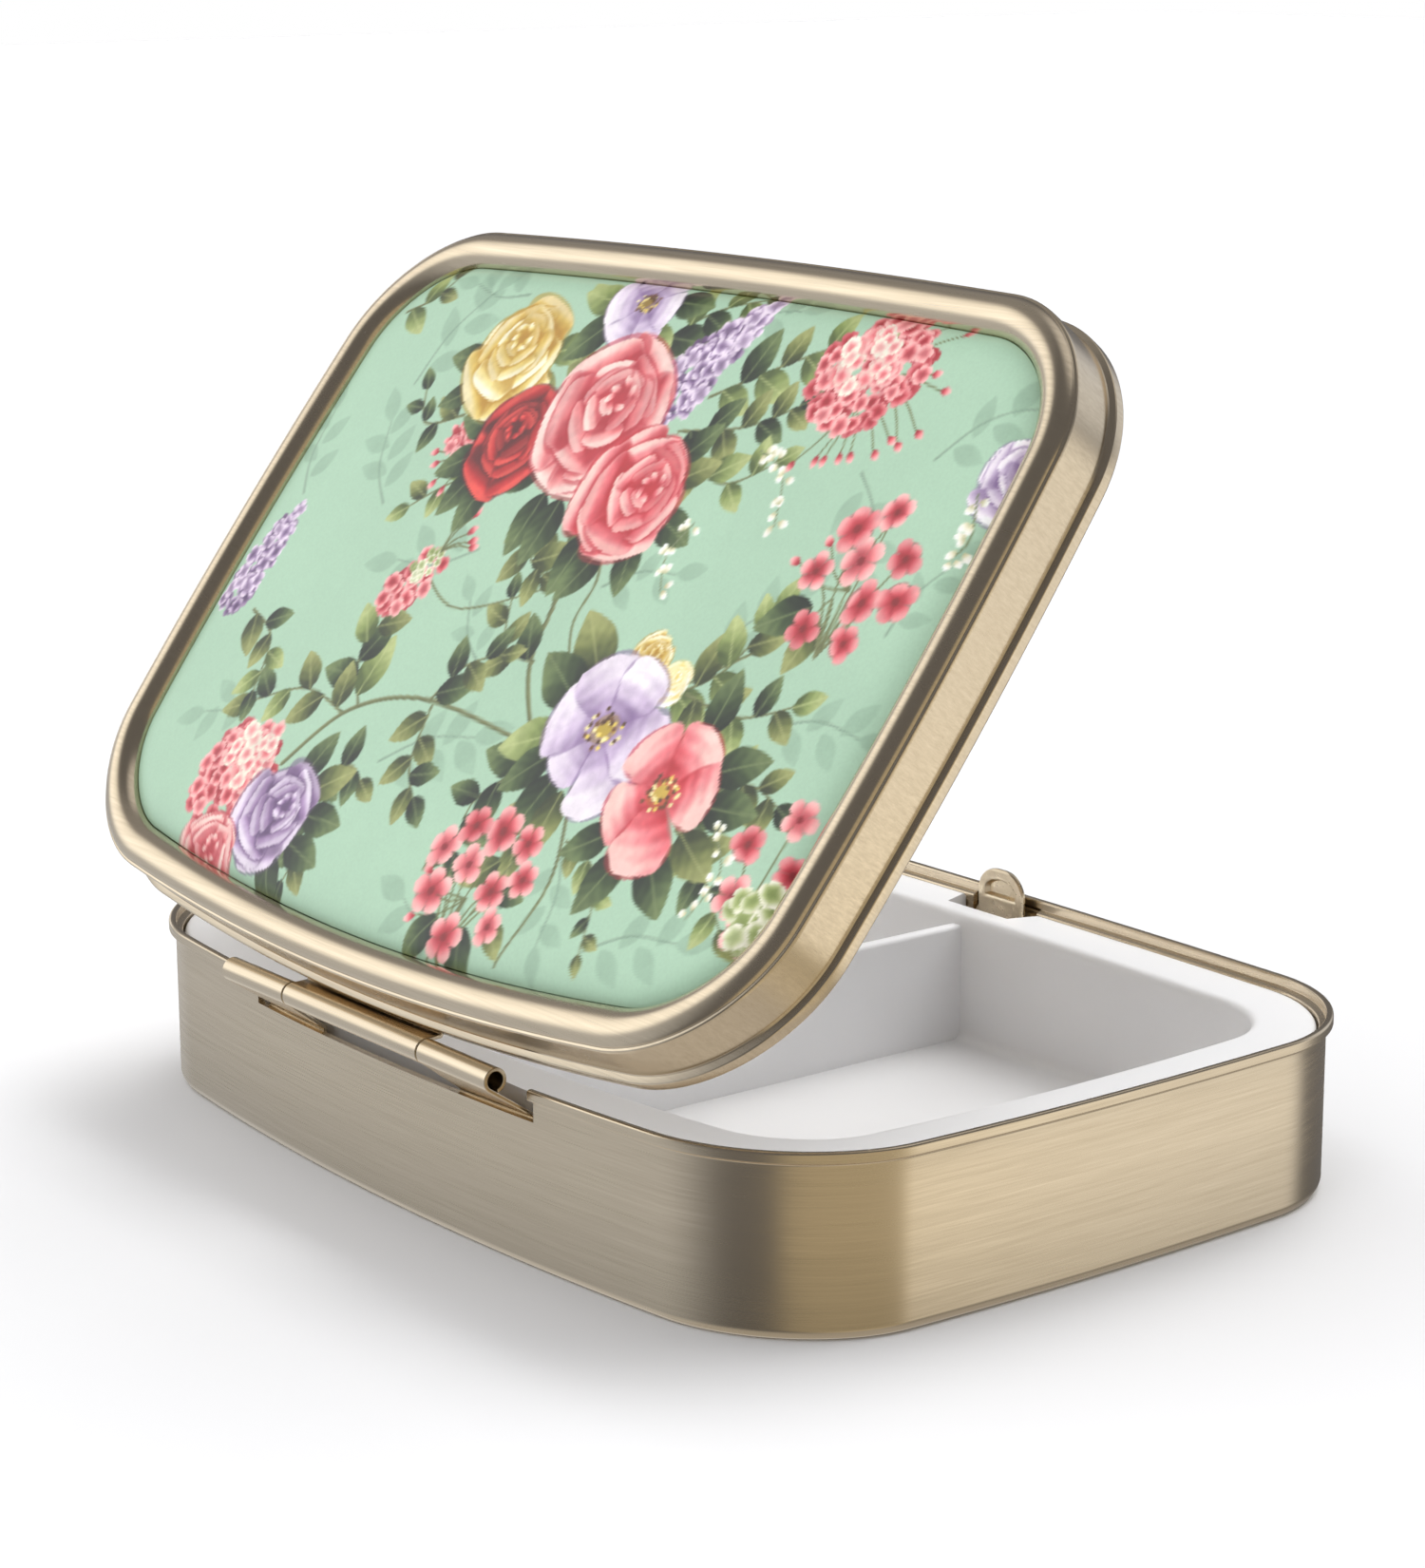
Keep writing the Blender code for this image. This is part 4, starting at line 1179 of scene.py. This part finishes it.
def build_print():
    """The domed picture: a dense skin that holds the painted colours, with a skirt into the lid's well."""
    half_x = HALF_LENGTH - DOME_INSET
    half_y = HALF_WIDTH - DOME_INSET
    radius = CORNER_RADIUS - DOME_INSET
    rows = edge_spacing(half_y)
    shares = edge_spacing(half_x) / half_x
    over = np.clip(np.abs(rows) - (half_y - radius), 0.0, radius)
    chords = half_x - radius + np.sqrt(np.maximum(radius ** 2 - over ** 2, 0.0))
    x = (chords[:, None] * shares[None, :]).ravel()
    y = np.repeat(rows, len(shares))
    z = DOME_EDGE_Z + DOME_RISE * (1.0 - np.exp(-dome_depth(x, y, half_x, half_y, radius) / 0.85))
    flat = bowed(x, y, half_x, half_y)
    art = paint_print(half_x + 0.5, half_y + 0.5)
    colours = linear(art.colour_at(-flat[:, 0], -flat[:, 1]))
    top = np.column_stack([flat, z])
    index = np.arange(len(top)).reshape(len(rows), len(shares))
    rim = rim_of(index)
    low = top[rim].copy()
    low[:, 2] = DOME_EDGE_Z - 0.40
    below = np.arange(len(rim)) + len(top)
    sides = np.stack([rim, below, np.roll(below, -1), np.roll(rim, -1)], axis=1)
    points = np.concatenate([top, low]) * MM
    turn = np.array(LID_OPEN)
    points = points @ turn[:3, :3].T + turn[:3, 3]
    mesh = bpy.data.meshes.new("printed_dome")
    faces = np.concatenate([sheet_quads(index), sides]).tolist() + [below[::-1].tolist()]
    mesh.from_pydata(points.tolist(), [], faces)
    paint = mesh.color_attributes.new("paint", "FLOAT_COLOR", "POINT")
    rgba = np.ones((len(points), 4), np.float32)
    rgba[:, :3] = np.concatenate([colours, colours[rim]])
    paint.data.foreach_set("color", rgba.ravel())
    place_mesh("printed_dome", mesh, "lid", "picture_dome", PRINT, "picture_dome", 60.0)


# ---------------------------------------------------------------- assembly

build_pan()
build_insert()
build_lid()
build_hinge()
build_latch()
build_button()
build_print()


def dress(node, look):
    item = frame["nodes"][node]
    item.data.materials.clear()
    item.data.materials.append(look)


dress("lid_catch", HINGE_METAL)
dress("picture_sheet", PAPER)


# ---------------------------------------------------------------- stage, light and camera

def build_floor():
    half = 1.6
    mesh = bpy.data.meshes.new("floor")
    corners = [(x, y, 0.0) for x, y in rectangle(-half, -half, half, half)]
    mesh.from_pydata(corners, [], [(0, 1, 2, 3)])
    floor = in_scene("floor", mesh)
    made, nodes, shader = new_material("floor_white")
    mottle = nodes.noise((0.02, 0.02, 0.02), 2.0, 0.5)
    whites = nodes.blend(mottle, (0.72, 0.72, 0.73, 1.0), (0.74, 0.74, 0.75, 1.0))
    nodes.link(whites, shader.inputs["Base Color"])
    shader.inputs["Roughness"].default_value = 0.7
    shader.inputs["Specular IOR Level"].default_value = 0.2
    mesh.materials.append(made)
    floor.visible_glossy = False


# Each glow is a soft round patch of the sky: direction, inner and outer radius in degrees, colour.
ROOM = (0.24, 0.24, 0.245)
ROOM_GLOWS = [
    ((0.0, 0.0, 1.0), 10.0, 75.0, (0.25, 0.25, 0.25)),
    ((0.06, -0.58, 0.81), 5.0, 38.0, (4.20, 4.20, 4.18)),
    ((0.12, 0.56, 0.82), 8.0, 44.0, (1.60, 1.60, 1.60)),
    ((0.85, 0.20, 0.45), 10.0, 40.0, (1.10, 1.10, 1.10)),
]
SHEEN = (0.155, 0.155, 0.165)
SHEEN_GLOWS = [
    ((-0.64, -0.73, -0.18), 10.0, 29.0, (0.88, 0.88, 0.86)),
    ((-0.964, 0.135, -0.22), 40.0, 48.0, (0.36, 0.30, 0.17)),
    ((0.77, 0.50, 0.40), 9.0, 31.0, (1.10, 1.10, 1.08)),
    ((0.77, 0.60, -0.25), 14.0, 60.0, (0.44, 0.47, 0.51)),
    ((0.75, -0.10, 0.65), 8.0, 32.0, (0.16, 0.16, 0.16)),
    ((0.10, -0.45, 0.89), 5.0, 30.0, (0.60, 0.60, 0.60)),
    ((0.0, -0.95, 0.24), 8.0, 32.0, (0.62, 0.65, 0.70)),
    ((0.96, -0.22, 0.10), 3.0, 16.0, (1.00, 0.98, 0.94)),
    ((0.77, -0.35, -0.53), 8.0, 36.0, (0.38, 0.38, 0.37)),
    ((0.05, -0.20, -0.98), 12.0, 62.0, (0.46, 0.43, 0.38)),
]


def sum_of_glows(nodes, direction, base, glows):
    total = base
    for aim, inner, outer, colour in glows:
        dot = nodes.add("ShaderNodeVectorMath", operation="DOT_PRODUCT")
        nodes.link(direction, dot.inputs[0])
        dot.inputs[1].default_value = Vector(aim).normalized()
        rim, core = (math.cos(math.radians(angle)) for angle in (outer, inner))
        share = nodes.span(dot.outputs["Value"], rim, core, 0.0, 1.0, True)
        adder = nodes.add("ShaderNodeVectorMath", operation="ADD")
        nodes.link(nodes.scaled(colour, share), adder.inputs[0])
        nodes.feed(adder.inputs[1], total)
        total = adder.outputs["Vector"]
    return total


def build_light():
    """A soft room for matt surfaces, panels for polished ones to reflect, and plain white behind."""
    world = bpy.data.worlds.new("studio")
    bpy.context.scene.world = world
    world.use_nodes = True
    world.cycles.sampling_method = "NONE"
    nodes = Nodes(world.node_tree)
    direction = nodes.add("ShaderNodeTexCoord").outputs["Generated"]
    room = sum_of_glows(nodes, direction, ROOM, ROOM_GLOWS)
    sheen = sum_of_glows(nodes, direction, SHEEN, SHEEN_GLOWS)
    paths = nodes.add("ShaderNodeLightPath")
    lit = nodes.blend(paths.outputs["Is Glossy Ray"], room, sheen)
    seen = nodes.blend(paths.outputs["Is Camera Ray"], lit, (1.0, 1.0, 1.0, 1.0))
    nodes.link(seen, world.node_tree.nodes["Background"].inputs["Color"])


CAMERA_AZIMUTH = 232.28
CAMERA_ELEVATION = 13.42
CAMERA_ROLL = -0.2
CAMERA_DISTANCE = 234.86
CAMERA_AIM = (-0.20, 21.14)
CAMERA_LENS = 85.73


def build_camera():
    azimuth = math.radians(CAMERA_AZIMUTH)
    elevation = math.radians(CAMERA_ELEVATION)
    roll = math.radians(CAMERA_ROLL)
    back = Vector((math.sin(azimuth) * math.cos(elevation), -math.cos(azimuth) * math.cos(elevation),
                   math.sin(elevation)))
    level = Vector((math.cos(azimuth), math.sin(azimuth), 0.0))
    upright = back.cross(level)
    right = math.cos(roll) * level + math.sin(roll) * upright
    up = -math.sin(roll) * level + math.cos(roll) * upright
    place = right * CAMERA_AIM[0] + up * CAMERA_AIM[1] + back * CAMERA_DISTANCE
    camera = in_scene("camera", bpy.data.cameras.new("camera"))
    camera.data.lens = CAMERA_LENS
    camera.data.sensor_width = 36.0
    camera.data.clip_start = 0.01
    camera.data.clip_end = 20.0
    turn = Matrix((right, up, back)).transposed().to_4x4()
    camera.matrix_world = Matrix.Translation(place * MM) @ turn
    bpy.context.scene.camera = camera


build_floor()
build_light()
build_camera()
bpy.context.scene.view_settings.view_transform = "Standard"

bpy.context.view_layer.update()
